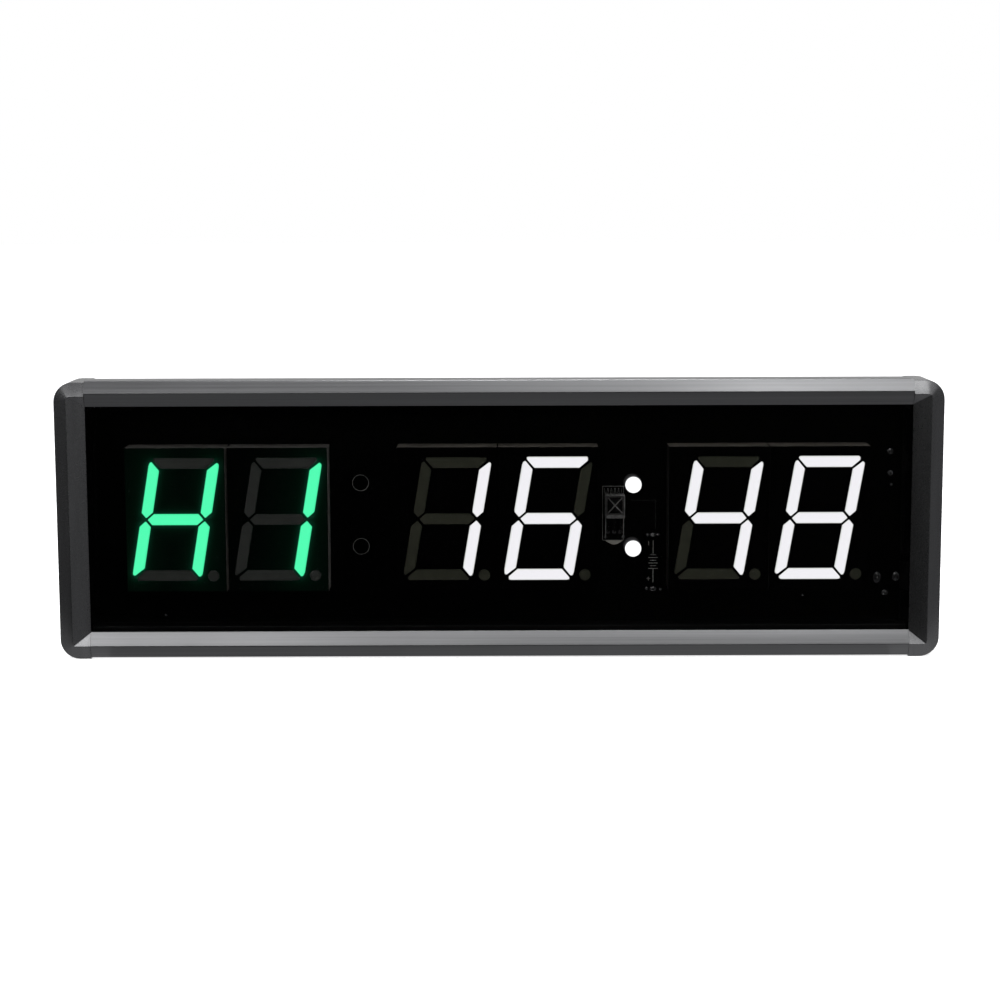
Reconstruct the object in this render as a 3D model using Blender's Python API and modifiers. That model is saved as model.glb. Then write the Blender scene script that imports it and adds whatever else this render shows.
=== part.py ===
"""Gym round timer: a slim LED wall clock in an extruded aluminium frame.

Two identical rails (top and bottom) hold the front lens, the main board and
the rear cover in grooves that run their whole length.  A moulded cap closes
each end and is screwed into the rails.  Six seven-segment modules, two colon
lamps and an infrared receiver sit on the front of the board; the buzzer, the
supply inlet, the clock circuit and its coin cell sit on the back.  Two steel
hangers slide in the slot behind the top rail.

Units: metres in the scene, millimetres in the constants below.
Frame: +X to the viewer's right, the display faces -Y, +Z up.  The origin is
under the middle of the object, on the surface that it stands on.
"""

import math

import bmesh
import bpy
from mathutils import Matrix, Vector

MM = 0.001
GAP = 0.3                    # clearance between touching pieces

# ---- driving dimensions (mm) -------------------------------------------
HALF_X = 135.0               # half the width over the end caps
LOW_Z, TOP_Z = 0.4, 85.6     # outer faces of the two rails
CAP_HEIGHT = 85.2            # the caps sit a little low: under the top rail's face, past the bottom one's
CAP_INNER_X = 125.6          # where a cap meets the rails
RAIL_HALF_X = CAP_INNER_X - GAP
CORNER_R = 6.0

# Depths are measured from the display face, positive towards the back.
FACE_Y = -12.15              # the display face in the object's own frame
RIDGE_D = -5.0               # the most forward line of the bezel
FACET_D = -3.2               # front edge of the top, bottom and side faces
LIP_D = -2.6                 # back of the lip that holds the lens
LENS_D = (-2.3, -0.3)
BOARD_D = (10.5, 12.1)
COVER_D = (23.2, 24.7)
REAR_D = 26.0

RIDGE_H = 3.85               # ridge below the rail's outer face
WINDOW_H = 7.9               # window edge below the rail's outer face
SLOT_MID_H = 9.0             # middle of the hanger slot
SCREW_D, SCREW_H = 6.4, 6.0  # end screw channel in each rail

DIGIT_X = (-99.28, -67.93, -16.03, 14.93, 67.21, 98.20)
DIGIT_Z = 42.6
MODULE = (30.6, 44.5, 10.2)  # width, height, depth of one digit module
MODULE_LOW = 22.4            # module's foot below the digit's centre
SEG_W, SEG_H = 9.03, 17.35   # half distances between segment centre lines
SEG_T = 1.75                 # half a segment's width
SEG_GAP = 0.47               # gap at the mitred ends, measured along an axis
SLANT = math.tan(math.radians(9.58))
POINT_X, POINT_Z, POINT_R = 11.3, -17.5, 1.75

COLON = ((41.25, 52.45), (41.25, 32.6))
IR_X, IR_Z = 35.7, 45.5
JACK_X = (117.3, 131.5)
JACK_Z = 22.35
JACK_AXIS_D = 18.6
BUZZER_X, BUZZER_Z = 121.3, 58.5
HANGER_X = 80.0


def mm(*v):
    return Vector([c * MM for c in v])


def y_of(depth):
    return FACE_Y + depth


# ---- scene ----------------------------------------------------------------
for old in list(bpy.data.objects):
    bpy.data.objects.remove(old, do_unlink=True)

parts = bpy.data.collections.new("gym_round_timer")
cutters = bpy.data.collections.new("cutters")
bpy.context.scene.collection.children.link(parts)
bpy.context.scene.collection.children.link(cutters)
cutters.hide_render = True


def material(name, color, rough, metal=0.0, alpha=1.0, glow=0.0):
    mat = bpy.data.materials.new(name)
    mat.use_nodes = True
    shader = mat.node_tree.nodes["Principled BSDF"]
    shader.inputs["Base Color"].default_value = (*color, 1.0)
    shader.inputs["Roughness"].default_value = rough
    shader.inputs["Metallic"].default_value = metal
    shader.inputs["Alpha"].default_value = alpha
    if glow:
        shader.inputs["Emission Color"].default_value = (*color, 1.0)
        shader.inputs["Emission Strength"].default_value = glow
    mat.diffuse_color = (*color, alpha)
    return mat


M_ALU = material("dark_anodised", (0.10, 0.10, 0.105), 0.38, 1.0)
M_CAP = material("grey_moulded", (0.055, 0.055, 0.058), 0.45)
M_LENS = material("smoked_acrylic", (0.01, 0.01, 0.012), 0.05, 0.0, 0.5)
M_COVER = material("black_sheet", (0.02, 0.02, 0.02), 0.5, 0.6)
M_BOARD = material("black_board", (0.012, 0.02, 0.014), 0.45)
M_HOUSING = material("display_black", (0.012, 0.012, 0.012), 0.5)
M_GREEN = material("segment_green", (0.05, 0.9, 0.45), 0.4, 0.0, 1.0, 1.5)
M_WHITE = material("segment_white", (0.9, 0.88, 0.95), 0.4, 0.0, 1.0, 1.5)
M_LED = material("clear_epoxy", (0.8, 0.82, 0.85), 0.1, 0.0, 0.6)
M_STEEL = material("zinc_steel", (0.55, 0.55, 0.56), 0.3, 1.0)
M_SCREW = material("black_screw", (0.03, 0.03, 0.03), 0.35, 1.0)
M_PLASTIC = material("black_plastic", (0.015, 0.015, 0.016), 0.45)
M_CHIP = material("chip_black", (0.02, 0.02, 0.022), 0.55)
M_NICKEL = material("nickel", (0.7, 0.7, 0.68), 0.2, 1.0)


def object_of(name, mesh, mat=None, where=parts, at=(0, 0, 0)):
    obj = bpy.data.objects.new(name, mesh)
    obj.location = at
    where.objects.link(obj)
    if mat is not None:
        mesh.materials.append(mat)
    if where is cutters:
        obj.hide_render = True
        obj.display_type = "WIRE"
    return obj


def finish_mesh(bm, name, smooth=False):
    bmesh.ops.recalc_face_normals(bm, faces=bm.faces)
    mesh = bpy.data.meshes.new(name)
    bm.to_mesh(mesh)
    bm.free()
    if smooth:
        mesh.shade_smooth()
        mesh.set_sharp_from_angle(angle=math.radians(35))
    return mesh


def box(name, low, high, mat=None, where=parts, origin=None, bevel=0.0):
    """A block between two corners (mm); its origin is its middle by default."""
    low, high = mm(*low), mm(*high)
    middle = (low + high) / 2 if origin is None else mm(*origin)
    bm = bmesh.new()
    bmesh.ops.create_cube(bm, size=1.0)
    bmesh.ops.scale(bm, vec=high - low, verts=bm.verts)
    bmesh.ops.translate(bm, vec=(low + high) / 2 - middle, verts=bm.verts)
    obj = object_of(name, finish_mesh(bm, name), mat, where, middle)
    if bevel:
        mod = obj.modifiers.new("edge", "BEVEL")
        mod.width = bevel * MM
        mod.segments = 1
        mod.limit_method = "ANGLE"
    return obj


def prism(name, outline, axis, start, end, mat=None, where=parts, at=(0, 0, 0), mesh_only=False):
    """An outline (mm) drawn in the plane across an axis and extruded along it.

    Axis X takes (y, z) points, axis Y takes (x, z) points.
    """
    bm = bmesh.new()
    if axis == "X":
        ring = [bm.verts.new(mm(start, u, v)) for u, v in outline]
        run = mm(end - start, 0, 0)
    else:
        ring = [bm.verts.new(mm(u, start, v)) for u, v in outline]
        run = mm(0, end - start, 0)
    face = bm.faces.new(ring)
    grown = bmesh.ops.extrude_face_region(bm, geom=[face])
    moved = [g for g in grown["geom"] if isinstance(g, bmesh.types.BMVert)]
    bmesh.ops.translate(bm, vec=run, verts=moved)
    if mesh_only:
        return bm
    return object_of(name, finish_mesh(bm, name), mat, where, mm(*at))


def tube(name, radius, axis, start, end, centre, sides=20, mat=None, where=parts, top=None):
    """A cylinder or cone (mm) along an axis; centre holds the other two places."""
    bm = bmesh.new()
    bmesh.ops.create_cone(
        bm, cap_ends=True, segments=sides,
        radius1=radius * MM, radius2=(radius if top is None else top) * MM,
        depth=abs(end - start) * MM,
    )
    middle = (start + end) / 2
    if axis == "X":
        turn, place = Matrix.Rotation(math.radians(90), 4, "Y"), (middle, *centre)
    elif axis == "Y":
        turn, place = Matrix.Rotation(math.radians(-90), 4, "X"), (centre[0], middle, centre[1])
    else:
        turn, place = Matrix.Identity(4), (*centre, middle)
    bmesh.ops.transform(bm, matrix=turn, verts=bm.verts)
    return object_of(name, finish_mesh(bm, name, True), mat, where, mm(*place))


def turned(name, profile, at, turn, mat, steps=20):
    """A profile of (radius, height) points, top to bottom, turned about Z."""
    bm = bmesh.new()
    ring = [bm.verts.new(mm(r, 0, z)) for r, z in profile]
    for a, b in zip(ring, ring[1:]):
        bm.edges.new((a, b))
    mesh = bpy.data.meshes.new(name)
    bm.to_mesh(mesh)
    bm.free()
    obj = object_of(name, mesh, mat, parts, mm(*at))
    obj.rotation_euler = turn
    mod = obj.modifiers.new("turn", "SCREW")
    mod.axis = "Z"
    mod.steps = steps
    mod.render_steps = steps
    mod.use_merge_vertices = True
    mod.merge_threshold = 0.00001
    return obj


FRONTWARD = (math.radians(90), 0, 0)     # local +Z looks along -Y
REARWARD = (math.radians(-90), 0, 0)     # local +Z looks along +Y
RIGHTWARD = (0, math.radians(90), 0)     # local +Z looks along +X
LEFTWARD = (0, math.radians(-90), 0)


def cut(target, tool, operation="DIFFERENCE"):
    mod = target.modifiers.new(operation.lower(), "BOOLEAN")
    mod.operation = operation
    mod.solver = "EXACT"
    mod.object = tool
    return mod


def rounded(half_x, low_z, high_z, radius, steps=5):
    """The outline of a rectangle with round corners, as (x, z) points."""
    out = []
    for cx, cz, start in (
        (half_x - radius, high_z - radius, 0), (-half_x + radius, high_z - radius, 90),
        (-half_x + radius, low_z + radius, 180), (half_x - radius, low_z + radius, 270),
    ):
        for i in range(steps + 1):
            a = math.radians(start + 90 * i / steps)
            out.append((cx + radius * math.cos(a), cz + radius * math.sin(a)))
    return out


def loft(name, sections, mat=None, where=parts):
    """Like outlines at rising depths, joined into one closed body."""
    bm = bmesh.new()
    rings = [[bm.verts.new(mm(x, y_of(d), z)) for x, z in outline] for d, outline in sections]
    for one, two in zip(rings, rings[1:]):
        for i in range(len(one)):
            j = (i + 1) % len(one)
            bm.faces.new((one[i], one[j], two[j], two[i]))
    bm.faces.new(rings[0])
    bm.faces.new(rings[-1])
    return object_of(name, finish_mesh(bm, name), mat, where)


# ---- rails ----------------------------------------------------------------
# The extrusion's section as (depth, distance in from its outer face).
RAIL_SECTION = (
    (RIDGE_D, RIDGE_H), (RIDGE_D, RIDGE_H - 0.25), (FACET_D, 0.0), (5.0, 0.0), (5.2, 1.2), (18.5, 1.2),
    (REAR_D, 3.0), (REAR_D, 5.5), (24.4, 5.5), (24.4, 4.2), (21.6, 4.2),
    (21.6, 13.8), (24.4, 13.8), (24.4, 12.5), (REAR_D, 12.5), (REAR_D, 17.0),
    (25.0, 17.0), (25.0, 15.0), (22.9, 15.0), (22.9, 17.0), (20.3, 17.0),
    (20.3, 2.8), (13.6, 2.8), (13.6, 6.0), (12.4, 6.0), (12.4, 4.0),
    (10.2, 4.0), (10.2, 8.4), (3.0, 8.4), (3.0, 2.8), (1.2, 2.8), (1.2, 7.0),
    (0.0, 7.0), (0.0, 5.0), (LIP_D, 5.0), (LIP_D, WINDOW_H), (LIP_D - 0.4, WINDOW_H),
)


def rail(name, outer_z, inward):
    outline = [(y_of(d), outer_z + inward * h) for d, h in RAIL_SECTION]
    obj = prism(name, outline, "X", -RAIL_HALF_X, RAIL_HALF_X, M_ALU)
    hole = tube(name + "_screw_channel", 1.35, "X", -RAIL_HALF_X - 5, RAIL_HALF_X + 5,
                (y_of(SCREW_D), outer_z + inward * SCREW_H), 16, None, cutters)
    cut(obj, hole)
    return obj


rail("top_rail", TOP_Z, -1)
rail("bottom_rail", LOW_Z, 1)


def rail_z(h, top):
    return TOP_Z - h if top else LOW_Z + h


# ---- end caps -------------------------------------------------------------
def end_cap(name, side):
    obj = loft(name, (
        (RIDGE_D, rounded(131.0, 4.0, 81.0, 1.4)),
        (FACET_D, rounded(HALF_X, 0, CAP_HEIGHT, CORNER_R)),
        (13.0, rounded(HALF_X, 0, CAP_HEIGHT, CORNER_R)),
        (REAR_D, rounded(HALF_X - 1.0, 1.7, CAP_HEIGHT - 1.7, CORNER_R - 0.8)),
    ), M_CAP)
    low, high = sorted((side * CAP_INNER_X, -side * (HALF_X + 5)))
    cut(obj, box(name + "_inner_side", (low, y_of(-10), -5), (high, y_of(30), 95), None, cutters))
    # sloping inner bevel round the window
    slope_x, slope_low, slope_high = 5.6 / 2.1, 4.2 / 2.1, 3.2 / 2.1
    cut(obj, loft(name + "_window", (
        (-6.2, rounded(130.9 + 1.2 * slope_x, 4.15 - 1.2 * slope_low, 80.85 + 1.2 * slope_high, 1.3)),
        (-2.9, rounded(125.3, 8.35, 77.65, 0.2)),
        (1.0, rounded(125.3, 8.35, 77.65, 0.2)),
    ), None, cutters))

    def inside(tag, x_to, depth, z):
        a, b = sorted((side * (CAP_INNER_X - 5), side * x_to))
        cut(obj, box(name + tag, (a, y_of(depth[0]), z[0]), (b, y_of(depth[1]), z[1]), None, cutters))

    inside("_lens_slot", 128.6, (LIP_D, 0.5), (rail_z(5.0, False), rail_z(5.0, True)))
    inside("_hollow", 132.2, (0.0, 22.9), (10.4, 75.6))
    inside("_cover_slot", 128.6, (22.4, 25.0), (rail_z(15.0, False), rail_z(15.0, True)))
    for top in (False, True):
        at = (y_of(SCREW_D), rail_z(SCREW_H, top))
        tag = "_top" if top else "_low"
        cut(obj, tube(name + tag + "_hole", 1.6, "X", side * 120, side * 140, at, 16, None, cutters))
        cut(obj, tube(name + tag + "_counterbore", 2.9, "X", side * 132.2, side * 140, at, 20, None, cutters))
    return obj


left_cap = end_cap("left_end_cap", -1)
right_cap = end_cap("right_end_cap", 1)
cut(right_cap, tube("inlet_hole", 5.0, "X", 129.5, 140, (y_of(JACK_AXIS_D - 0.6), JACK_Z), 28, None, cutters))

for side, word in ((-1, "left"), (1, "right")):
    for top in (False, True):
        name = "cap_screw_%s_%s" % (word, "top" if top else "bottom")
        # pan head, then a plain shank down the rail's screw channel
        turned(name, (
            (0.0, 1.0), (1.1, 1.0), (1.2, 1.55), (1.9, 1.45), (2.5, 0.9), (2.6, 0.0),
            (1.05, -0.05), (1.05, -15.4), (0.5, -16.4), (0.0, -16.4),
        ), (side * 132.6, y_of(SCREW_D), rail_z(SCREW_H, top)),
            RIGHTWARD if side > 0 else LEFTWARD, M_SCREW, 16)

# ---- lens, board, rear cover ----------------------------------------------
box("front_lens", (-128.3, y_of(LENS_D[0]), rail_z(5.3, False)),
    (128.3, y_of(LENS_D[1]), rail_z(5.3, True)), M_LENS)
box("main_board", (-125.0, y_of(BOARD_D[0]), rail_z(4.3, False)),
    (125.0, y_of(BOARD_D[1]), rail_z(4.3, True)), M_BOARD)
cover = box("rear_cover", (-128.3, y_of(COVER_D[0]), rail_z(15.3, False)),
            (128.3, y_of(COVER_D[1]), rail_z(15.3, True)), M_COVER)
for i in range(7):
    a = math.radians(60 * i)
    r = 0.0 if i == 6 else 3.4
    cut(cover, tube("sound_hole_%d" % i, 0.95, "Y", y_of(20), y_of(28),
                    (BUZZER_X - 2.0 + r * math.cos(a), BUZZER_Z + r * math.sin(a)), 10, None, cutters))


# ---- digit modules --------------------------------------------------------
def segment_outlines(grow=0.0):
    """The seven segments and the point, as (x, z) outlines about the centre."""
    w, h, t, g = SEG_W, SEG_H, SEG_T + grow, SEG_GAP - grow * 0.4
    top = [(-w - t + g + 0.55, h + t - 0.15), (-w - t + g + 1.3, h + t), (w + t - g - 1.3, h + t),
           (w + t - g - 0.55, h + t - 0.15), (w + t - g - 0.6, h + t - 0.7),
           (w - t - g, h - t), (-w + t + g, h - t), (-w - t + g + 0.6, h + t - 0.7)]
    upper = [(-w - t, h - 0.7), (-w - t + 0.2, h + 0.2), (-w - t + 0.8, h + t - g - 0.8),
             (-w + t, h - t - g), (-w + t, t + g), (-w, g), (-w - t, t + g)]
    middle = [(-w + g, 0), (-w + t + g, t), (w - t - g, t), (w - g, 0), (w - t - g, -t), (-w + t + g, -t)]
    shapes = {
        "a": top,
        "b": [(-x, z) for x, z in upper],
        "c": [(-x, -z) for x, z in upper],
        "d": [(x, -z) for x, z in top],
        "e": [(x, -z) for x, z in upper],
        "f": upper,
        "g": middle,
    }
    out = {k: [(x + SLANT * z, z) for x, z in v] for k, v in shapes.items()}
    r = POINT_R + grow
    out["point"] = [(POINT_X + r * math.cos(math.radians(30 * i)), POINT_Z + r * math.sin(math.radians(30 * i)))
                    for i in range(12)]
    return out


def joined_prisms(name, outlines, start, end):
    """Several separate prisms along Y in one mesh, for use as a cutter."""
    whole = bmesh.new()
    for outline in outlines.values():
        one = prism("", outline, "Y", start, end, mesh_only=True)
        bmesh.ops.recalc_face_normals(one, faces=one.faces)
        mesh = bpy.data.meshes.new("piece")
        one.to_mesh(mesh)
        one.free()
        whole.from_mesh(mesh)
        bpy.data.meshes.remove(mesh)
    return object_of(name, finish_mesh(whole, name), None, cutters)


w, h, d = MODULE
foot, head = DIGIT_Z - MODULE_LOW, DIGIT_Z - MODULE_LOW + h
for n, x in enumerate(DIGIT_X, 1):
    glow = M_GREEN if n < 3 else M_WHITE
    housing = box("digit_%d_housing" % n, (x - w / 2, y_of(0.0), foot), (x + w / 2, y_of(d), head), M_HOUSING)
    cut(housing, box("digit_%d_back" % n, (x - w / 2 + 1.3, y_of(7.4), foot + 1.3),
                     (x + w / 2 - 1.3, y_of(d + 2), head - 1.3), None, cutters))
    windows = joined_prisms("digit_%d_windows" % n, segment_outlines(GAP), y_of(-2), y_of(9)) 
    windows.location = mm(x, 0, DIGIT_Z)
    cut(housing, windows)
    fill = box("digit_%d_light_guide" % n, (x - w / 2 + 1.6, y_of(7.7), foot + 1.6),
               (x + w / 2 - 1.6, y_of(8.5), head - 1.6), glow)
    guides = joined_prisms("digit_%d_guides" % n, segment_outlines(), y_of(0.05), y_of(8.1))
    guides.location = mm(x, 0, DIGIT_Z)
    cut(fill, guides, "UNION")
    box("digit_%d_led_board" % n, (x - w / 2 + 1.6, y_of(8.8), foot + 1.6),
        (x + w / 2 - 1.6, y_of(10.0), head - 1.6), M_BOARD)

# ---- colon lamps ----------------------------------------------------------
dome = [(2.5 * math.sin(math.radians(a)), 6.1 + 2.5 * math.cos(math.radians(a))) for a in (0, 20, 40, 60, 78, 90)]
dome[0] = (0.0, dome[0][1])
for n, (x, z) in enumerate(COLON, 1):
    turned("colon_lamp_%d" % n, [*dome, (2.5, 1.0), (2.9, 1.0), (2.9, 0.0), (0.0, 0.0)],
           (x, y_of(10.2), z), FRONTWARD, M_LED, 20)

# ---- infrared receiver ----------------------------------------------------
shield = box("ir_receiver_shield", (IR_X - 3.1, y_of(5.0), IR_Z - 3.7), (IR_X + 3.1, y_of(10.1), IR_Z + 3.7), M_NICKEL)
cut(shield, box("ir_shield_inside", (IR_X - 2.8, y_of(5.3), IR_Z - 5.0), (IR_X + 2.8, y_of(12), IR_Z + 3.4), None, cutters))
cut(shield, tube("ir_shield_window", 2.2, "Y", y_of(3), y_of(7), (IR_X, IR_Z), 16, None, cutters))
ir = box("ir_receiver", (IR_X - 2.4, y_of(5.7), IR_Z - 3.6), (IR_X + 2.4, y_of(9.8), IR_Z + 3.0), M_PLASTIC)
cut(ir, tube("ir_lens", 1.8, "Y", y_of(6.2), y_of(4.2), (IR_X, IR_Z), 16, None, cutters, 1.1), "UNION")
for i in (-1, 0, 1):
    leg = box("ir_leg_%d" % (i + 2), (IR_X + i * 1.9 - 0.25, y_of(8.0), IR_Z - 10.4),
              (IR_X + i * 1.9 + 0.25, y_of(8.5), IR_Z - 3.2), None, cutters)
    cut(ir, leg, "UNION")
    foot_box = box("ir_foot_%d" % (i + 2), (IR_X + i * 1.9 - 0.25, y_of(8.2), IR_Z - 10.4),
                   (IR_X + i * 1.9 + 0.25, y_of(10.2), IR_Z - 9.9), None, cutters)
    cut(ir, foot_box, "UNION")

# ---- pieces on the back of the board --------------------------------------
BACK = BOARD_D[1] + GAP
jack = box("dc_jack", (JACK_X[0], y_of(BACK), JACK_Z - 4.5), (JACK_X[1], y_of(22.9), JACK_Z + 4.5), M_PLASTIC, bevel=0.5)
cut(jack, tube("jack_bore", 3.2, "X", JACK_X[0] + 3.2, JACK_X[1] + 2, (y_of(JACK_AXIS_D - 0.6), JACK_Z), 24, None, cutters))
cut(jack, tube("jack_pin_hole", 1.4, "X", JACK_X[0] + 1.0, JACK_X[0] + 5, (y_of(JACK_AXIS_D - 0.6), JACK_Z), 16, None, cutters))
turned("dc_jack_pin", ((0.0, 10.2), (0.6, 10.0), (1.0, 9.2), (1.0, 0.0), (0.0, 0.0)),
       (JACK_X[0] + 1.4, y_of(JACK_AXIS_D - 0.6), JACK_Z), RIGHTWARD, M_NICKEL, 16)
turned("buzzer", ((0.0, 7.0), (1.1, 7.0), (1.1, 8.5), (5.6, 8.5), (6.0, 8.1), (6.0, 0.0), (0.0, 0.0)),
       (BUZZER_X, y_of(BACK), BUZZER_Z), REARWARD, M_PLASTIC, 24)

CELL_X, CELL_Z = 47.8, 27.4
holder = box("coin_cell_holder", (CELL_X - 7.6, y_of(BACK), CELL_Z - 8.6), (CELL_X + 7.6, y_of(BACK + 4.0), CELL_Z + 8.6), M_PLASTIC)
cut(holder, tube("cell_pocket", 6.6, "Y", y_of(BACK + 1.2), y_of(BACK + 8), (CELL_X, CELL_Z), 28, None, cutters))
turned("coin_cell", ((0.0, 2.0), (5.6, 2.0), (6.2, 1.7), (6.2, 0.4), (5.4, 0.0), (0.0, 0.0)),
       (CELL_X, y_of(BACK + 1.5), CELL_Z), REARWARD, M_NICKEL, 28)
box("coin_cell_clip", (CELL_X - 1.6, y_of(BACK + 4.3), CELL_Z - 8.2), (CELL_X + 1.6, y_of(BACK + 4.8), CELL_Z + 8.2), M_NICKEL)

box("microcontroller", (-9.0, y_of(BACK), 38.9), (9.0, y_of(BACK + 2.4), 46.3), M_CHIP, bevel=0.3)
box("led_driver_1", (-66.0, y_of(BACK), 38.9), (-50.0, y_of(BACK + 2.4), 46.3), M_CHIP, bevel=0.3)
box("led_driver_2", (72.0, y_of(BACK), 38.9), (88.0, y_of(BACK + 2.4), 46.3), M_CHIP, bevel=0.3)
box("clock_chip", (26.0, y_of(BACK), 25.0), (31.0, y_of(BACK + 1.6), 29.0), M_CHIP, bevel=0.2)
turned("clock_crystal", ((0.0, 6.2), (0.9, 6.2), (1.05, 6.0), (1.05, 0.2), (0.9, 0.0), (0.0, 0.0)),
       (19.0, y_of(BACK + 1.1), 27.0), RIGHTWARD, M_NICKEL, 12)
box("voltage_regulator", (100.0, y_of(BACK), 22.5), (106.5, y_of(BACK + 2.3), 29.0), M_CHIP, bevel=0.3)
turned("supply_capacitor", ((0.0, 9.6), (3.6, 9.6), (4.0, 9.2), (4.0, 0.0), (0.0, 0.0)),
       (97.0, y_of(BACK), 55.0), REARWARD, M_PLASTIC, 20)

# ---- sliding hangers ------------------------------------------------------
HANGER_SECTION = (
    (26.3, 4.8), (27.8, 4.8), (27.8, 14.0), (29.3, 15.8), (29.3, 31.0),
    (27.8, 31.0), (27.8, 16.4), (26.3, 14.6),
)
KEY_H, KEY_R, NECK_R, NECK_H = 25.0, 3.75, 2.3, 19.6

for side, word in ((-1, "left"), (1, "right")):
    x = side * HANGER_X
    slider = bpy.data.objects.new("hanger_%s_slide" % word, None)
    slider.location = mm(x, y_of(25.0), rail_z(SLOT_MID_H, True))
    parts.objects.link(slider)

    plate = prism("hanger_%s" % word, [(y_of(a), rail_z(b, True)) for a, b in HANGER_SECTION], "X", x - 9.0, x + 9.0, M_STEEL)
    cut(plate, tube("keyhole_%s" % word, KEY_R, "Y", y_of(25), y_of(32), (x, rail_z(KEY_H, True)), 24, None, cutters))
    neck = [(x - NECK_R, rail_z(KEY_H, True))]
    for i in range(9):
        a = math.radians(180 - 180 * i / 8)
        neck.append((x + NECK_R * math.cos(a), rail_z(NECK_H, True) + NECK_R * math.sin(a)))
    neck.append((x + NECK_R, rail_z(KEY_H, True)))
    cut(plate, prism("keyhole_neck_%s" % word, neck, "Y", y_of(25), y_of(32), None, cutters))
    cut(plate, tube("clamp_hole_%s" % word, 1.75, "Y", y_of(24), y_of(30), (x, rail_z(SLOT_MID_H, True)), 20, None, cutters))
    cut(plate, tube("countersink_%s" % word, 1.75, "Y", y_of(26.5), y_of(28.1), (x, rail_z(SLOT_MID_H, True)), 20, None, cutters, 3.6))

    nut = box("hanger_nut_%s" % word, (x - 4.5, y_of(22.1), rail_z(13.4, True)), (x + 4.5, y_of(24.1), rail_z(4.6, True)), M_STEEL)
    cut(nut, tube("nut_hole_%s" % word, 1.8, "Y", y_of(20), y_of(26), (x, rail_z(SLOT_MID_H, True)), 20, None, cutters))
    screw = turned("hanger_screw_%s" % word, (
        (0.0, -0.9), (1.0, -0.9), (1.1, 0.0), (2.85, 0.0), (2.85, -0.2), (1.4, -1.5), (1.4, -5.5), (1.0, -5.9), (0.0, -5.9),
    ), (x, y_of(27.8), rail_z(SLOT_MID_H, True)), REARWARD, M_SCREW, 20)
    for piece in (plate, nut, screw):
        place = piece.location.copy()
        piece.parent = slider
        piece.location = place - slider.location
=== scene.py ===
"""Looks of the gym round timer: finished surfaces, fine edges, the lit display and the studio.

Lengths below are millimetres unless a name says otherwise.  Depths run back from the display face.
"""

import math

import bmesh
import bpy
from mathutils import Matrix, Vector


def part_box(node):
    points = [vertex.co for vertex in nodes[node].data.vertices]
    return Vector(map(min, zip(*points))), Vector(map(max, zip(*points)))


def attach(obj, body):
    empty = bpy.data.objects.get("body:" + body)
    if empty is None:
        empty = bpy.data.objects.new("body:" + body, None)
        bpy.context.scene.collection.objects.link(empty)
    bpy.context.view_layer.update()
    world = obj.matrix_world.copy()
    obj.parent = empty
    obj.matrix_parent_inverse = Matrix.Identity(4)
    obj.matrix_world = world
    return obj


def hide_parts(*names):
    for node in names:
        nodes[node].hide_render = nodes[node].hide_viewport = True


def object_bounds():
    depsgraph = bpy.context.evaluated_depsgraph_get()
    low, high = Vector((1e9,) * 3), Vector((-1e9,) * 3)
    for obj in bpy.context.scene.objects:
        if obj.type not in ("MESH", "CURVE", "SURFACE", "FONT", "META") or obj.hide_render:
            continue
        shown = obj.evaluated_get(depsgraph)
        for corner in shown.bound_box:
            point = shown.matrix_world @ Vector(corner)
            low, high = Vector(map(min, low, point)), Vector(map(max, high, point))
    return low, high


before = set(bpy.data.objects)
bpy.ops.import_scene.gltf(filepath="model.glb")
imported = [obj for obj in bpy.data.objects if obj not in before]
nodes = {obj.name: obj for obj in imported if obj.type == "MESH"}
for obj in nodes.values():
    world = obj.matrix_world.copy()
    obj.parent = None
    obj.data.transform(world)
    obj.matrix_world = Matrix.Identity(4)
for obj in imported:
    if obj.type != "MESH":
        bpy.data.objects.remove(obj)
cad_low, cad_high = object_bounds()

MM = 0.001
HOUSING, LEFT, RIGHT = "housing", "left_hanger", "right_hanger"

# ---- where things are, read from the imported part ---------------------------
SPAN = {name: tuple(tuple(c / MM for c in corner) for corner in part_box(name)) for name in nodes}
FACE_Y = SPAN["digit_1_housing"][0][1]
CAP_HEIGHT = SPAN["left_end_cap"][1][2]
HALF_X = SPAN["right_end_cap"][1][0]
CAP_INNER_X = SPAN["right_end_cap"][0][0]
RAIL_HALF_X = SPAN["top_rail"][1][0]
RAIL_END_X = CAP_INNER_X - 0.08      # the finished rails all but touch the caps
TOP_Z = SPAN["top_rail"][1][2]
LOW_Z = SPAN["bottom_rail"][0][2]
RIDGE_D, FACET_D, LIP_D, REAR_D = -5.0, -3.2, -2.6, 26.0
SCREW_D, SCREW_H, SLOT_MID_H = 6.4, 6.0, 9.0

SEG_W, SEG_H, SEG_T, SEG_GAP = 9.03, 17.35, 1.64, 0.50
SLANT = math.tan(math.radians(9.58))
POINT_X, POINT_Z, POINT_R = 11.3, -17.5, 1.75
MODULE_LOW = 22.4
LIT = {1: "fbcge", 2: "bc", 3: "bc", 4: "afgecd", 5: "fbgc", 6: "abcdefg"}


def mm(*v):
    return Vector([c * MM for c in v])


def y_of(depth):
    return FACE_Y + depth


def rail_z(h, top):
    return TOP_Z - h if top else LOW_Z + h


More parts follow.
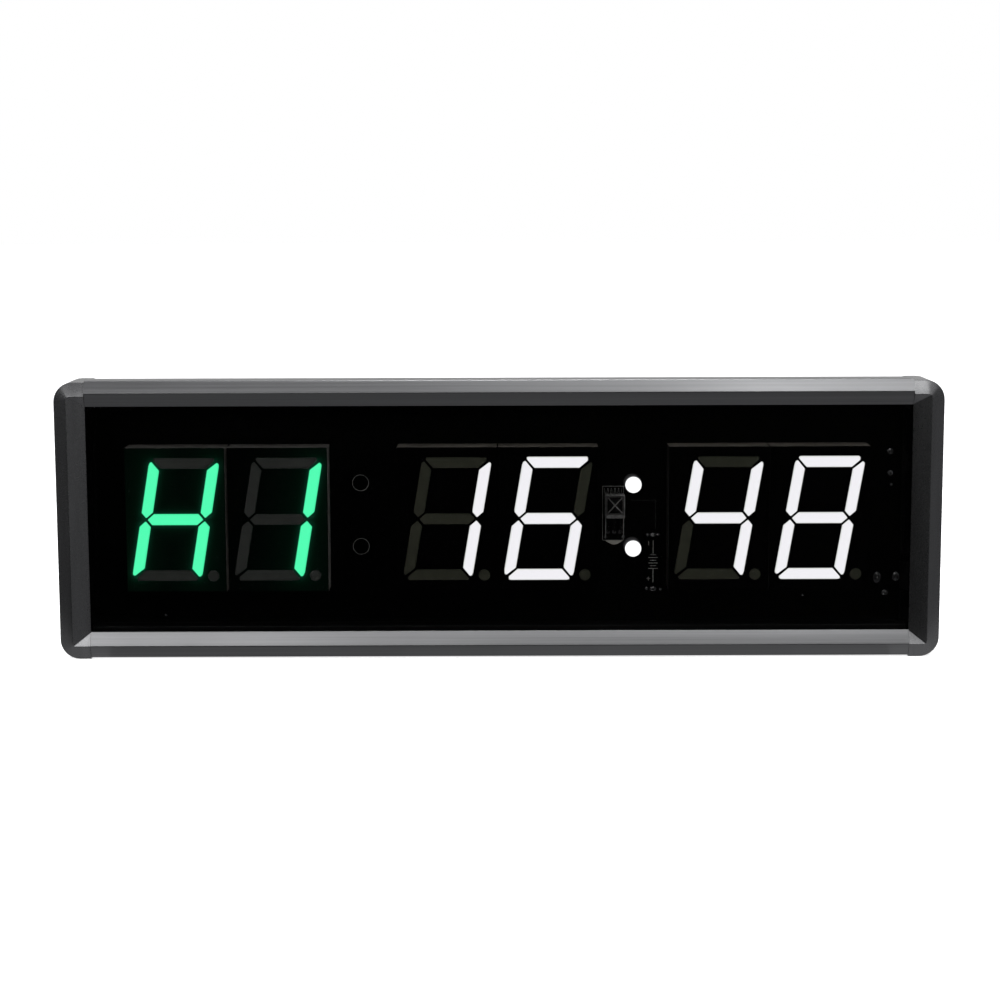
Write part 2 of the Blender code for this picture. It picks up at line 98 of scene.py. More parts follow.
# ---- camera -----------------------------------------------------------------
def make_camera():
    data = bpy.data.cameras.new("camera")
    data.sensor_width = 36.0
    data.lens = 79.2
    data.clip_start, data.clip_end = 0.01, 50.0
    cam = bpy.data.objects.new("camera", data)
    bpy.context.scene.collection.objects.link(cam)
    tilt, roll, yaw = math.radians(7.89), math.radians(-0.159), math.radians(0.127)
    ahead = Vector((math.sin(yaw) * math.cos(tilt), math.cos(yaw) * math.cos(tilt), -math.sin(tilt)))
    level = Vector((math.cos(yaw), -math.sin(yaw), 0.0))
    above = level.cross(ahead)
    right = math.cos(roll) * level + math.sin(roll) * above
    up = -math.sin(roll) * level + math.cos(roll) * above
    place = Matrix((right, up, -ahead)).transposed().to_4x4()
    place.translation = mm(-1.32, -679.15, 140.87)
    cam.matrix_world = place
    bpy.context.scene.camera = cam


make_camera()


# ---- mesh helpers -----------------------------------------------------------
def soft(points, radius, arc=3, closed=True):
    """An outline with its corners rounded.  radius is one number or one for each corner."""
    out, n = [], len(points)
    for i, p in enumerate(points):
        r = radius[i] if isinstance(radius, (list, tuple)) else radius
        if r <= 0 or (not closed and i in (0, n - 1)):
            out.append(tuple(p))
            continue
        p = Vector(p)
        a, b = Vector(points[i - 1]) - p, Vector(points[(i + 1) % n]) - p
        turn = math.pi - a.angle(b)
        if turn < 0.02:
            out.append(tuple(p))
            continue
        t = min(r * math.tan(turn / 2), 0.46 * a.length, 0.46 * b.length)
        start, end = p + a.normalized() * t, p + b.normalized() * t
        for k in range(arc + 1):
            s = k / arc
            q = start * (1 - s) ** 2 + p * 2 * s * (1 - s) + end * s**2
            out.append(tuple(q))
    return out


def add(name, bm, mats, body=HOUSING, replaces=None, smooth=32, at=None):
    """A finished piece from a bmesh whose points are metres in the row frame."""
    bmesh.ops.recalc_face_normals(bm, faces=bm.faces)
    mesh = bpy.data.meshes.new(name)
    bm.to_mesh(mesh)
    bm.free()
    return add_mesh(name, mesh, mats, body, replaces, smooth)


def add_mesh(name, mesh, mats, body=HOUSING, replaces=None, smooth=32):
    obj = bpy.data.objects.new(name, mesh)
    bpy.context.scene.collection.objects.link(obj)
    for mat in mats:
        mesh.materials.append(mat)
    if smooth:
        mesh.shade_smooth()
        mesh.set_sharp_from_angle(angle=math.radians(smooth))
    if body:
        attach(obj, body)
    if replaces:
        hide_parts(*([replaces] if isinstance(replaces, str) else replaces))
    return obj


def prism(outline, axis, start, end, bm=None, mat=0):
    """An outline extruded along X (y, z points) or Y (x, z points), into bm or a new bmesh."""
    bm = bm or bmesh.new()
    def at(u, v, w):
        return mm(w, u, v) if axis == "X" else mm(u, w, v)
    one = [bm.verts.new(at(u, v, start)) for u, v in outline]
    two = [bm.verts.new(at(u, v, end)) for u, v in outline]
    made = [bm.faces.new(one), bm.faces.new(two[::-1])]
    for i in range(len(one)):
        j = (i + 1) % len(one)
        made.append(bm.faces.new((one[i], one[j], two[j], two[i])))
    for f in made:
        f.material_index = mat
    return bm


def block(low, high, bm=None, edge=0.0, mat=0):
    """A box between two corners with its edges rounded over."""
    bm = bm or bmesh.new()
    before = set(bm.faces)
    low, high = mm(*low), mm(*high)
    made = bmesh.ops.create_cube(bm, size=1.0)["verts"]
    bmesh.ops.scale(bm, vec=high - low, verts=made)
    bmesh.ops.translate(bm, vec=(low + high) / 2, verts=made)
    if edge:
        edges = {e for v in made for e in v.link_edges}
        bmesh.ops.bevel(bm, geom=list(edges), offset=edge * MM, segments=2, profile=0.5, affect="EDGES")
    for f in set(bm.faces) - before:
        f.material_index = mat
    return bm


def lathe(profile, steps, bm=None, turn=None, at=(0, 0, 0), mat=0):
    """(radius, height) points from the top down, turned about local Z and closed at both ends."""
    bm = bm or bmesh.new()
    matrix = Matrix.Translation(mm(*at)) @ (turn or Matrix.Identity(4))
    rings = []
    for r, z in profile:
        if r < 1e-6:
            rings.append([bm.verts.new(matrix @ mm(0, 0, z))])
        else:
            rings.append([
                bm.verts.new(matrix @ mm(r * math.cos(2 * math.pi * k / steps), r * math.sin(2 * math.pi * k / steps), z))
                for k in range(steps)
            ])
    made = []
    for one, two in zip(rings, rings[1:]):
        for k in range(steps):
            j = (k + 1) % steps
            face = [one[k % len(one)], two[k % len(two)], two[j % len(two)], one[j % len(one)]]
            face = list(dict.fromkeys(face))
            if len(face) > 2:
                made.append(bm.faces.new(face))
    for ends in (rings[0], rings[-1]):
        if len(ends) > 1:
            made.append(bm.faces.new(ends))
    for f in made:
        f.material_index = mat
    return bm


FRONTWARD = Matrix.Rotation(math.radians(90), 4, "X")
REARWARD = Matrix.Rotation(math.radians(-90), 4, "X")
RIGHTWARD = Matrix.Rotation(math.radians(90), 4, "Y")
LEFTWARD = Matrix.Rotation(math.radians(-90), 4, "Y")


def rod(radius, axis, start, end, centre, sides=28, top=None):
    """A cylinder or cone along an axis, as a bmesh."""
    bm = bmesh.new()
    bmesh.ops.create_cone(
        bm, cap_ends=True, segments=sides, radius1=radius * MM,
        radius2=(radius if top is None else top) * MM, depth=abs(end - start) * MM,
    )
    middle = (start + end) / 2
    if axis == "X":
        turn, place = Matrix.Rotation(math.radians(90), 4, "Y"), (middle, *centre)
    elif axis == "Y":
        turn, place = Matrix.Rotation(math.radians(-90), 4, "X"), (centre[0], middle, centre[1])
    else:
        turn, place = Matrix.Identity(4), (*centre, middle)
    bmesh.ops.transform(bm, matrix=Matrix.Translation(mm(*place)) @ turn, verts=bm.verts)
    return bm


def rounded(half_x, low_z, high_z, radius, steps=9):
    out = []
    for cx, cz, start in (
        (half_x - radius, high_z - radius, 0), (-half_x + radius, high_z - radius, 90),
        (-half_x + radius, low_z + radius, 180), (half_x - radius, low_z + radius, 270),
    ):
        for i in range(steps + 1):
            a = math.radians(start + 90 * i / steps)
            out.append((cx + radius * math.cos(a), cz + radius * math.sin(a)))
    return out


def loft(sections):
    """Like outlines at rising depths, joined into one closed body."""
    bm = bmesh.new()
    rings = [[bm.verts.new(mm(x, y_of(d), z)) for x, z in outline] for d, outline in sections]
    for one, two in zip(rings, rings[1:]):
        for i in range(len(one)):
            j = (i + 1) % len(one)
            bm.faces.new((one[i], one[j], two[j], two[i]))
    bm.faces.new(rings[0])
    bm.faces.new(rings[-1])
    return bm


def carve(bm, cutters, operation="DIFFERENCE"):
    """bm with the cutters taken out of it (or kept only inside them), as a new bmesh."""
    def temporary(b):
        bmesh.ops.recalc_face_normals(b, faces=b.faces)
        mesh = bpy.data.meshes.new("temporary")
        b.to_mesh(mesh)
        b.free()
        obj = bpy.data.objects.new("temporary", mesh)
        bpy.context.scene.collection.objects.link(obj)
        return obj
    target, tools = temporary(bm), [temporary(c) for c in cutters]
    for tool in tools:
        mod = target.modifiers.new("cut", "BOOLEAN")
        mod.operation, mod.solver, mod.object = operation, "EXACT", tool
    graph = bpy.context.evaluated_depsgraph_get()
    graph.update()
    mesh = bpy.data.meshes.new_from_object(target.evaluated_get(graph))
    out = bmesh.new()
    out.from_mesh(mesh)
    for o in [target, *tools]:
        old = o.data
        bpy.data.objects.remove(o)
        bpy.data.meshes.remove(old)
    bpy.data.meshes.remove(mesh)
    return out


# ---- finishes ---------------------------------------------------------------
class Look:
    """A Principled finish with its procedural detail.  Patterns are set in millimetres of the object's own space."""

    def __init__(self, name, color, rough, metal=0.0, specular=0.5, coat=0.0, alpha=1.0, ior=1.5):
        self.mat = bpy.data.materials.new(name)
        self.mat.use_nodes = True
        self.tree = self.mat.node_tree
        self.shader = self.tree.nodes["Principled BSDF"]
        s = self.shader.inputs
        s["Base Color"].default_value = (*color, 1.0)
        s["Roughness"].default_value = rough
        s["Metallic"].default_value = metal
        s["Specular IOR Level"].default_value = specular
        s["Coat Weight"].default_value = coat
        s["Alpha"].default_value = alpha
        s["IOR"].default_value = ior
        self.mat.diffuse_color = (*color, 1.0)

    def node(self, kind, **settings):
        n = self.tree.nodes.new(kind)
        for key, value in settings.items():
            setattr(n, key, value)
        return n

    def link(self, a, b):
        self.tree.links.new(a, b)

    def place(self, x, y, z):
        """Object coordinates in mm, times (x, y, z)."""
        coords = self.node("ShaderNodeTexCoord")
        mapping = self.node("ShaderNodeMapping")
        mapping.inputs["Scale"].default_value = (1000 * x, 1000 * y, 1000 * z)
        self.link(coords.outputs["Object"], mapping.inputs["Vector"])
        return mapping.outputs["Vector"]

    def noise(self, x, y, z, detail=2.0, rough=0.5):
        """Noise with x, y, z cycles a millimetre along each axis."""
        n = self.node("ShaderNodeTexNoise")
        n.inputs["Scale"].default_value = 1.0
        n.inputs["Detail"].default_value = detail
        n.inputs["Roughness"].default_value = rough
        self.link(self.place(x, y, z), n.inputs["Vector"])
        return n.outputs["Fac"]

    def cells(self, x, y, z, feature="F1", distance="EUCLIDEAN"):
        n = self.node("ShaderNodeTexVoronoi", feature=feature, distance=distance)
        n.inputs["Scale"].default_value = 1.0
        self.link(self.place(x, y, z), n.inputs["Vector"])
        return n.outputs["Distance"]

    def span(self, source, low, high, to_low, to_high):
        n = self.node("ShaderNodeMapRange")
        for key, value in (("From Min", low), ("From Max", high), ("To Min", to_low), ("To Max", to_high)):
            n.inputs[key].default_value = value
        self.link(source, n.inputs["Value"])
        return n.outputs["Result"]

    def math(self, operation, a, b):
        n = self.node("ShaderNodeMath", operation=operation)
        for i, v in enumerate((a, b)):
            if isinstance(v, (int, float)):
                n.inputs[i].default_value = v
            else:
                self.link(v, n.inputs[i])
        return n.outputs[0]

    def ramp(self, source, *stops):
        n = self.node("ShaderNodeValToRGB")
        while len(n.color_ramp.elements) < len(stops):
            n.color_ramp.elements.new(0.5)
        for element, (position, color) in zip(n.color_ramp.elements, stops):
            element.position = position
            element.color = (*color, 1.0)
        self.link(source, n.inputs["Fac"])
        return n.outputs["Color"]

    def color(self, source):
        self.link(source, self.shader.inputs["Base Color"])
        return self

    def rough(self, source):
        self.link(source, self.shader.inputs["Roughness"])
        return self

    def bump(self, source, strength, depth):
        n = self.node("ShaderNodeBump")
        n.inputs["Strength"].default_value = strength
        n.inputs["Distance"].default_value = depth * MM
        self.link(source, n.inputs["Height"])
        self.link(n.outputs["Normal"], self.shader.inputs["Normal"])
        return self

    def glow(self, color, strength):
        self.shader.inputs["Emission Color"].default_value = (*color, 1.0)
        self.shader.inputs["Emission Strength"].default_value = strength
        return self


def grey(v, tint=0.0):
    return (v * (1 - tint), v, v * (1 + 1.6 * tint))


def anodised():
    """Dark anodised extrusion: fine die lines along the rail, with a faint handling haze."""
    m = Look("dark_anodised", grey(0.28), 0.33, 1.0)
    fine = m.noise(0.010, 4.5, 4.5, 2.0, 0.6)
    broad = m.noise(0.003, 0.9, 0.9, 2.0, 0.5)
    haze = m.noise(0.02, 0.05, 0.05, 3.0, 0.6)
    lines = m.math("ADD", m.math("MULTIPLY", fine, 0.55), m.math("MULTIPLY", broad, 0.45))
    m.color(m.ramp(lines, (0.30, (0.225, 0.227, 0.232)), (0.52, (0.278, 0.280, 0.286)), (0.72, (0.330, 0.332, 0.338))))
    m.rough(m.math("ADD", m.span(lines, 0.3, 0.7, 0.27, 0.36), m.span(haze, 0.35, 0.7, 0.0, 0.05)))
    m.bump(lines, 0.22, 0.02)
    return m.mat


def moulded():
    """Grey lacquered moulding: fine satin grain, slight flow variation and a little metallic flake."""
    m = Look("grey_moulded", grey(0.27), 0.28, 1.0)
    grain = m.noise(3.2, 3.2, 3.2, 3.0, 0.6)
    flow = m.noise(0.35, 0.10, 0.03, 2.0, 0.5)
    flake = m.cells(7.0, 7.0, 7.0)
    mix = m.math("ADD", m.math("MULTIPLY", grain, 0.35), m.math("MULTIPLY", flow, 0.65))
    m.color(m.ramp(mix, (0.32, (0.238, 0.239, 0.243)), (0.52, (0.270, 0.271, 0.276)), (0.70, (0.302, 0.303, 0.309))))
    m.rough(m.math("ADD", m.span(grain, 0.3, 0.7, 0.25, 0.31), m.span(flake, 0.1, 0.6, 0.04, 0.0)))
    m.bump(grain, 0.30, 0.03)
    return m.mat


def smoked():
    """Smoked acrylic: each face passes half the light; a faint wiped haze breaks its gloss."""
    m = Look("smoked_acrylic", (0.0001, 0.0001, 0.00012), 0.05, 0.0, 0.06, 0.0, 0.5, 1.49)
    haze = m.noise(0.05, 0.05, 0.02, 4.0, 0.6)
    m.rough(m.span(haze, 0.35, 0.75, 0.03, 0.09))
    dust = m.cells(0.45, 0.45, 0.45)
    m.color(m.ramp(dust, (0.0, (0.002, 0.002, 0.002)), (0.03, (0.0001, 0.0001, 0.00012))))
    return m.mat


def black_sheet():
    """Black powder-coated steel sheet: a soft orange-peel."""
    m = Look("black_sheet", grey(0.03), 0.5, 0.0, 0.45)
    peel = m.noise(1.3, 1.3, 1.3, 3.0, 0.5)
    wear = m.noise(0.06, 0.06, 0.06, 4.0, 0.6)
    m.color(m.ramp(wear, (0.3, (0.022, 0.022, 0.023)), (0.7, (0.034, 0.034, 0.035))))
    m.rough(m.span(peel, 0.3, 0.7, 0.42, 0.58))
    m.bump(peel, 0.5, 0.06)
    return m.mat


def board_look():
    """Black solder mask with copper pour and tracks just showing under it."""
    m = Look("board", (0.0012, 0.0016, 0.0012), 0.45, 0.0, 0.12)
    n = m.node("ShaderNodeTexBrick", offset=0.5)
    m.link(m.place(0.35, 0.35, 0.35), n.inputs["Vector"])
    n.inputs["Color1"].default_value = (0.0010, 0.0014, 0.0010, 1)
    n.inputs["Color2"].default_value = (0.0015, 0.0021, 0.0015, 1)
    n.inputs["Mortar"].default_value = (0.0006, 0.0010, 0.0006, 1)
    n.inputs["Scale"].default_value = 1.0
    n.inputs["Mortar Size"].default_value = 0.06
    m.color(n.outputs["Color"])
    weave = m.noise(1.2, 1.2, 1.2, 2.0, 0.5)
    m.rough(m.span(weave, 0.3, 0.7, 0.34, 0.48))
    m.bump(n.outputs["Fac"], 0.3, 0.03)
    return m.mat


def plastic(name, value, rough, grain=2.5, specular=0.4, tint=0.0, depth=0.02):
    """Moulded black or grey plastic with a fine spark texture."""
    m = Look(name, grey(value, tint), rough, 0.0, specular)
    spark = m.noise(grain, grain, grain, 3.0, 0.55)
    cloud = m.noise(0.15, 0.15, 0.15, 2.0, 0.5)
    m.color(m.ramp(cloud, (0.3, grey(value * 0.85, tint)), (0.7, grey(value * 1.15, tint))))
    m.rough(m.span(spark, 0.3, 0.7, rough - 0.06, rough + 0.08))
    m.bump(spark, 0.35, depth)
    return m.mat


def metal(name, value, rough, brushed=None, tint=0.0, wear=0.06, metallic=1.0):
    """Plated or plain metal with small variations of tone and gloss; a dull plating is less metallic."""
    m = Look(name, grey(value, tint), rough, metallic)
    grain = m.noise(*(brushed or (2.0, 2.0, 2.0)), 3.0, 0.55)
    cloud = m.noise(0.25, 0.25, 0.25, 3.0, 0.6)
    m.color(m.ramp(cloud, (0.3, grey(value * (1 - wear), tint)), (0.7, grey(value * (1 + wear), tint))))
    m.rough(m.math("ADD", m.span(grain, 0.3, 0.7, rough - 0.05, rough + 0.05), m.span(cloud, 0.4, 0.7, 0.0, 0.05)))
    m.bump(grain, 0.15, 0.01)
    return m.mat


def unlit(name, low, high):
    """An unlit segment: milky epoxy behind its tinted film, a little cloudy."""
    m = Look(name, high, 0.42, 0.0, 0.3)
    cloud = m.noise(0.35, 0.35, 0.35, 3.0, 0.6)
    m.color(m.ramp(cloud, (0.3, low), (0.7, high)))
    fine = m.noise(2.0, 2.0, 2.0, 2.0, 0.5)
    m.rough(m.span(fine, 0.3, 0.7, 0.36, 0.5))
    return m.mat


def lit(name, core, rim, strength):
    """A lit segment: even light, a touch stronger over each LED and softer along the rim."""
    m = Look(name, (0.1, 0.1, 0.1), 0.4, 0.0, 0.3)
    warmth = m.node("ShaderNodeAttribute", attribute_name="led_glow")
    cloud = m.noise(0.6, 0.6, 0.6, 2.0, 0.5)
    warm = m.math("ADD", m.math("MULTIPLY", warmth.outputs["Fac"], 0.85), m.math("MULTIPLY", cloud, 0.25))
    m.link(m.ramp(warm, (0.0, rim), (0.42, core), (1.0, core)), m.shader.inputs["Emission Color"])
    m.shader.inputs["Emission Strength"].default_value = strength
    m.rough(m.span(cloud, 0.3, 0.7, 0.36, 0.46))
    return m.mat


def ink(name, tint):
    """The matt black face of a digit module; near lit segments it carries a painted glow, an emission in the given
    tint.
    """
    m = Look(name, (0.001, 0.001, 0.001), 0.6, 0.0, 0.06)
    fine = m.noise(3.0, 3.0, 3.0, 2.0, 0.5)
    m.color(m.ramp(fine, (0.3, (0.0008, 0.0008, 0.0008)), (0.7, (0.0014, 0.0014, 0.0014))))
    m.rough(m.span(fine, 0.3, 0.7, 0.55, 0.7))
    # painted glow: tint is the emission colour, weighted by a vertex value that fades away from the lit segments
    if tint:
        painted_glow = m.node("ShaderNodeAttribute", attribute_name="painted_glow")
        m.link(m.ramp(painted_glow.outputs["Fac"], (0.0, (0, 0, 0)), (1.0, tint)), m.shader.inputs["Emission Color"])
        m.shader.inputs["Emission Strength"].default_value = 1.0
    return m.mat


def print_ink():
    m = Look("silkscreen", (0.5, 0.5, 0.48), 0.6, 0.0, 0.3)
    worn = m.noise(3.0, 3.0, 3.0, 2.0, 0.6)
    m.color(m.ramp(worn, (0.35, (0.25, 0.25, 0.24)), (0.65, (0.6, 0.6, 0.57))))
    m.rough(m.span(worn, 0.3, 0.7, 0.5, 0.7))
    return m.mat


ALU, CAP, LENS, SHEET, BOARD = anodised(), moulded(), smoked(), black_sheet(), board_look()
BODY_1 = plastic("display_body_grey", 0.46, 0.42, 1.5, 0.5, -0.04)
BODY_2 = plastic("display_body_warm", 0.56, 0.42, 1.5, 0.5, -0.08)
# case side walls: darker copies of the body plastic, as painted shade
SHADED_BODY_SIDE = plastic("display_case_side_painted_shade", 0.03, 0.5, 1.5, 0.2, -0.05)
SHADED_BODY_SIDE_1 = plastic("display_case_side_grey_painted_shade", 0.42, 0.5, 1.5, 0.2, -0.03)
# the green modules' face: black ink with a painted green glow near the lit segments
FACE_GREEN_GLOW = ink("display_face_painted_green_glow", (0.010, 0.13, 0.062))
FACE_PLAIN = ink("display_face", None)
UNLIT_1 = unlit("segment_unlit", (0.092, 0.098, 0.090), (0.108, 0.115, 0.105))
UNLIT_2 = unlit("segment_unlit_olive", (0.092, 0.096, 0.066), (0.110, 0.115, 0.080))
LIT_GREEN = lit("segment_green", (0.072, 0.935, 0.433), (0.050, 0.78, 0.33), 4.15)
LIT_WHITE = lit("segment_white", (0.866, 0.858, 0.892), (0.62, 0.64, 0.60), 4.0)
PRINT = print_ink()
SOLDER = metal("solder", 0.95, 0.13, (1.4, 1.4, 1.4), 0.0, 0.06, 0.90)
SHIELD = metal("receiver_shield", 0.20, 0.30, (2.5, 2.5, 2.5), -0.02, 0.10, 0.80)
# a paler, less metallic copy of the shield metal: tin on the tabs, painted highlight on the shield's edges, top face,
# cross bars and hem
TIN_AND_HIGHLIGHT = metal("tinned_tabs_and_painted_highlight", 0.42, 0.25, None, -0.01, 0.06, 0.30)
NICKEL = metal("nickel", 0.40, 0.20, (2.5, 2.5, 2.5), -0.02)
ZINC = metal("zinc_steel", 0.55, 0.30, (0.06, 3.5, 3.5), 0.01, 0.10)
SCREW = metal("black_screw", 0.06, 0.34, None, 0.0, 0.2)
PLASTIC = plastic("black_plastic", 0.014, 0.45)
CHIP = plastic("chip", 0.02, 0.55, 3.5, 0.3)


def epoxy(name, alpha, color=(0.05, 0.05, 0.05)):
    m = Look(name, color, 0.08, 0.0, 0.6, 0.0, alpha, 1.52)
    haze = m.noise(0.8, 0.8, 0.8, 2.0, 0.5)
    m.rough(m.span(haze, 0.3, 0.7, 0.05, 0.12))
    m.color(m.ramp(haze, (0.3, tuple(0.8 * c for c in color)), (0.7, tuple(1.2 * c for c in color))))
    return m


def lamp_lit():
    """The lit lamp: the dome blazes, and the barrel behind it only catches a little of that light."""
    m = epoxy("lamp_lit", 1.0, (0.03, 0.03, 0.03))
    warmth = m.node("ShaderNodeAttribute", attribute_name="led_glow")
    m.link(m.ramp(warmth.outputs["Fac"], (0.0, (0.008, 0.008, 0.008)), (0.21, (0.026, 0.026, 0.027)), (0.62, (0.038, 0.038, 0.039)), (0.80, (0.12, 0.12, 0.124)), (0.88, (0.95, 0.95, 0.97)), (1.0, (1, 1, 1))),
           m.shader.inputs["Emission Color"])
    m.shader.inputs["Emission Strength"].default_value = 4.6
    return m.mat


LAMP_LIT = lamp_lit()


# ---- rails ------------------------------------------------------------------
RAIL_SECTION = (
    (RIDGE_D, 3.85, 0.18), (RIDGE_D, 3.6, 0.18), (FACET_D, 0.0, 0.40), (5.0, 0.0, 0.20), (5.2, 1.2, 0.15), (18.5, 1.2, 0.8),
    (REAR_D, 3.0, 0.40), (REAR_D, 5.5, 0.15), (24.4, 5.5, 0.12), (24.4, 4.2, 0.12), (21.6, 4.2, 0.12),
    (21.6, 13.8, 0.12), (24.4, 13.8, 0.12), (24.4, 12.5, 0.12), (REAR_D, 12.5, 0.15), (REAR_D, 17.0, 0.20),
    (25.0, 17.0, 0.12), (25.0, 15.0, 0.10), (22.9, 15.0, 0.10), (22.9, 17.0, 0.12), (20.3, 17.0, 0.20),
    (20.3, 2.8, 0.4), (13.6, 2.8, 0.3), (13.6, 6.0, 0.12), (12.4, 6.0, 0.12), (12.4, 4.0, 0.10),
    (10.2, 4.0, 0.10), (10.2, 8.4, 0.15), (3.0, 8.4, 0.2), (3.0, 2.8, 0.3), (1.2, 2.8, 0.3), (1.2, 7.0, 0.15),
    (0.0, 7.0, 0.12), (0.0, 5.0, 0.10), (LIP_D, 5.0, 0.10), (LIP_D, 7.9, 0.10), (LIP_D - 0.4, 7.9, 0.12),
)
for name, top in (("top_rail", True), ("bottom_rail", False)):
    section = soft([(y_of(d), rail_z(h, top)) for d, h, _ in RAIL_SECTION], [r for *_, r in RAIL_SECTION], 4)
    channel = rod(1.35, "X", -RAIL_HALF_X - 5, RAIL_HALF_X + 5, (y_of(SCREW_D), rail_z(SCREW_H, top)), 32)
    add(name + "_extrusion", carve(prism(section, "X", -RAIL_END_X, RAIL_END_X), [channel]), [ALU],
        replaces=name, smooth=28)


# ---- end caps ---------------------------------------------------------------
def cap_piece(side):
    # the section through the rim, as (depth, out from the crest) for the sides and for the top and bottom
    radii = [0, 0.20, 0.40, 2.0, 0.45, 0]
    across = soft([(RIDGE_D, -0.30), (RIDGE_D, 0.0), (FACET_D, 4.0), (13.0, 4.0), (REAR_D, 3.0), (REAR_D, 2.0)], radii, 4, False)
    upward = soft([(RIDGE_D, -0.32), (RIDGE_D, 0.0), (FACET_D, 4.1), (13.0, 4.1), (REAR_D, 2.4), (REAR_D, 1.4)], radii, 4, False)
    levels = []
    for (d1, u), (d2, w) in zip(across, upward):
        share = min(max(u / 4.0, 0.0), 1.0)
        levels.append(((d1 + d2) / 2, rounded(131.0 + u, 4.05 - w, 81.05 + w, 1.3 + 4.7 * share)))
    body = loft(levels)
    tools = []

    def inside(x_from, x_to, depth, z):
        a, b = sorted((side * x_from, side * x_to))
        tools.append(block((a, y_of(depth[0]), z[0]), (b, y_of(depth[1]), z[1])))

    inside(CAP_INNER_X, -(HALF_X + 5), (-10, 30), (-5, 95))
    bevel_x = soft([(RIDGE_D - 0.6, 0.0), (RIDGE_D, 0.0), (-2.9, -5.6)], [0, 0.2, 0], 4, False)
    low_z = soft([(RIDGE_D - 0.6, 0.0), (RIDGE_D, 0.0), (-2.9, -4.2)], [0, 0.2, 0], 4, False)
    high_z = soft([(RIDGE_D - 0.6, 0.0), (RIDGE_D, 0.0), (-2.9, -3.2)], [0, 0.2, 0], 4, False)
    window = [
        ((a[0] + b[0] + c[0]) / 3, rounded(130.92 + a[1], 4.13 - b[1], 80.87 + c[1], 0.45 + 0.35 * a[1] / 5.6))
        for a, b, c in zip(bevel_x, low_z, high_z)
    ]
    window.append((1.0, rounded(125.3, 8.35, 77.65, 0.1)))
    tools.append(loft(window))
    inside(CAP_INNER_X - 5, 128.6, (LIP_D, 0.5), (rail_z(5.0, False), rail_z(5.0, True)))
    inside(CAP_INNER_X - 5, 132.2, (0.0, 22.9), (10.4, 75.6))
    inside(CAP_INNER_X - 5, 128.6, (22.4, 25.0), (rail_z(15.0, False), rail_z(15.0, True)))
    for top in (False, True):
        at = (y_of(SCREW_D), rail_z(SCREW_H, top))
        tools.append(rod(1.6, "X", side * 120, side * 140, at, 28))
        tools.append(rod(2.9, "X", side * 132.2, side * 140, at, 40))
        flare = rod(2.9, "X", 134.6, 135.2, at, 40, 3.5) if side > 0 else rod(3.5, "X", -135.2, -134.6, at, 40, 2.9)
        tools.append(flare)
    if side > 0:
        at = (y_of(18.0), 22.35)
        tools.append(rod(5.0, "X", 129.5, 140, at, 56))
        tools.append(rod(5.0, "X", 134.5, 135.2, at, 56, 5.7))
    return carve(body, tools)


for side, word in ((-1, "left"), (1, "right")):
    add(word + "_end_cap_moulding", cap_piece(side), [CAP], replaces=word + "_end_cap", smooth=24)


def driver_cross(radius, depth, face, axis_turn, at):
    """Two crossed tapered slots, for a cross recess; local +Z points out of the screw."""
    tools = []
    for k in range(2):
        bm = bmesh.new()
        bmesh.ops.create_cone(bm, cap_ends=True, segments=4, radius1=0.35 * radius * MM, radius2=radius * MM, depth=(depth + 0.6) * MM)
        bmesh.ops.rotate(bm, cent=(0, 0, 0), matrix=Matrix.Rotation(math.radians(45), 3, "Z"), verts=bm.verts)
        bmesh.ops.scale(bm, vec=(1.42, 0.30, 1.0), verts=bm.verts)
        bmesh.ops.rotate(bm, cent=(0, 0, 0), matrix=Matrix.Rotation(math.radians(45 + 90 * k), 3, "Z"), verts=bm.verts)
        bmesh.ops.translate(bm, vec=mm(0, 0, face - depth / 2 + 0.3), verts=bm.verts)
        bmesh.ops.transform(bm, matrix=Matrix.Translation(mm(*at)) @ axis_turn, verts=bm.verts)
        tools.append(bm)
    return tools


def threads(radius, root, top, bottom, pitch):
    """Profile points of a threaded shank, as rings of crest and root."""
    out, z, crest = [], top, False
    while z > bottom:
        out.append((radius if crest else root, z))
        crest = not crest
        z -= pitch / 2
    return out


for side, word in ((-1, "left"), (1, "right")):
    for top in (False, True):
        name = "cap_screw_%s_%s" % (word, "top" if top else "bottom")
        at = (side * 132.6, y_of(SCREW_D), rail_z(SCREW_H, top))
        turn = RIGHTWARD if side > 0 else LEFTWARD
        head = [(0.0, 1.55), (0.8, 1.54), (1.5, 1.42), (2.1, 1.12), (2.45, 0.72), (2.6, 0.30), (2.6, 0.0), (2.5, -0.05), (1.2, -0.05), (1.05, -0.15)]
        body = lathe([*head, *threads(1.05, 0.82, -0.8, -15.2, 0.8), (0.5, -16.3), (0.0, -16.4)], 32, None, turn, at)
        add(name + "_head", carve(body, driver_cross(1.75, 1.0, 1.55, turn, at)), [SCREW], replaces=name, smooth=30)

# ---- lens, board and rear cover ----------------------------------------------
for name, new, mat, slot, edge in (
    ("front_lens", "front_lens_panel", LENS, "smoked_acrylic", 0.2),
    ("main_board", "main_board_panel", BOARD, "board", 0.12),
):
    low, high = SPAN[name]
    add(new, block(low, high, None, edge), [mat], replaces=name, smooth=32)

low, high = SPAN["rear_cover"]
holes = []
for i in range(7):
    a, r = math.radians(60 * i), 0.0 if i == 6 else 3.4
    centre = (119.3 + r * math.cos(a), 58.5 + r * math.sin(a))
    holes.append(rod(0.95, "Y", y_of(20), y_of(28), centre, 24))
    holes.append(rod(0.95, "Y", y_of(24.5), y_of(24.9), centre, 24, 1.35))
add("rear_cover_sheet", carve(block(low, high, None, 0.2), holes), [SHEET], replaces="rear_cover", smooth=32)


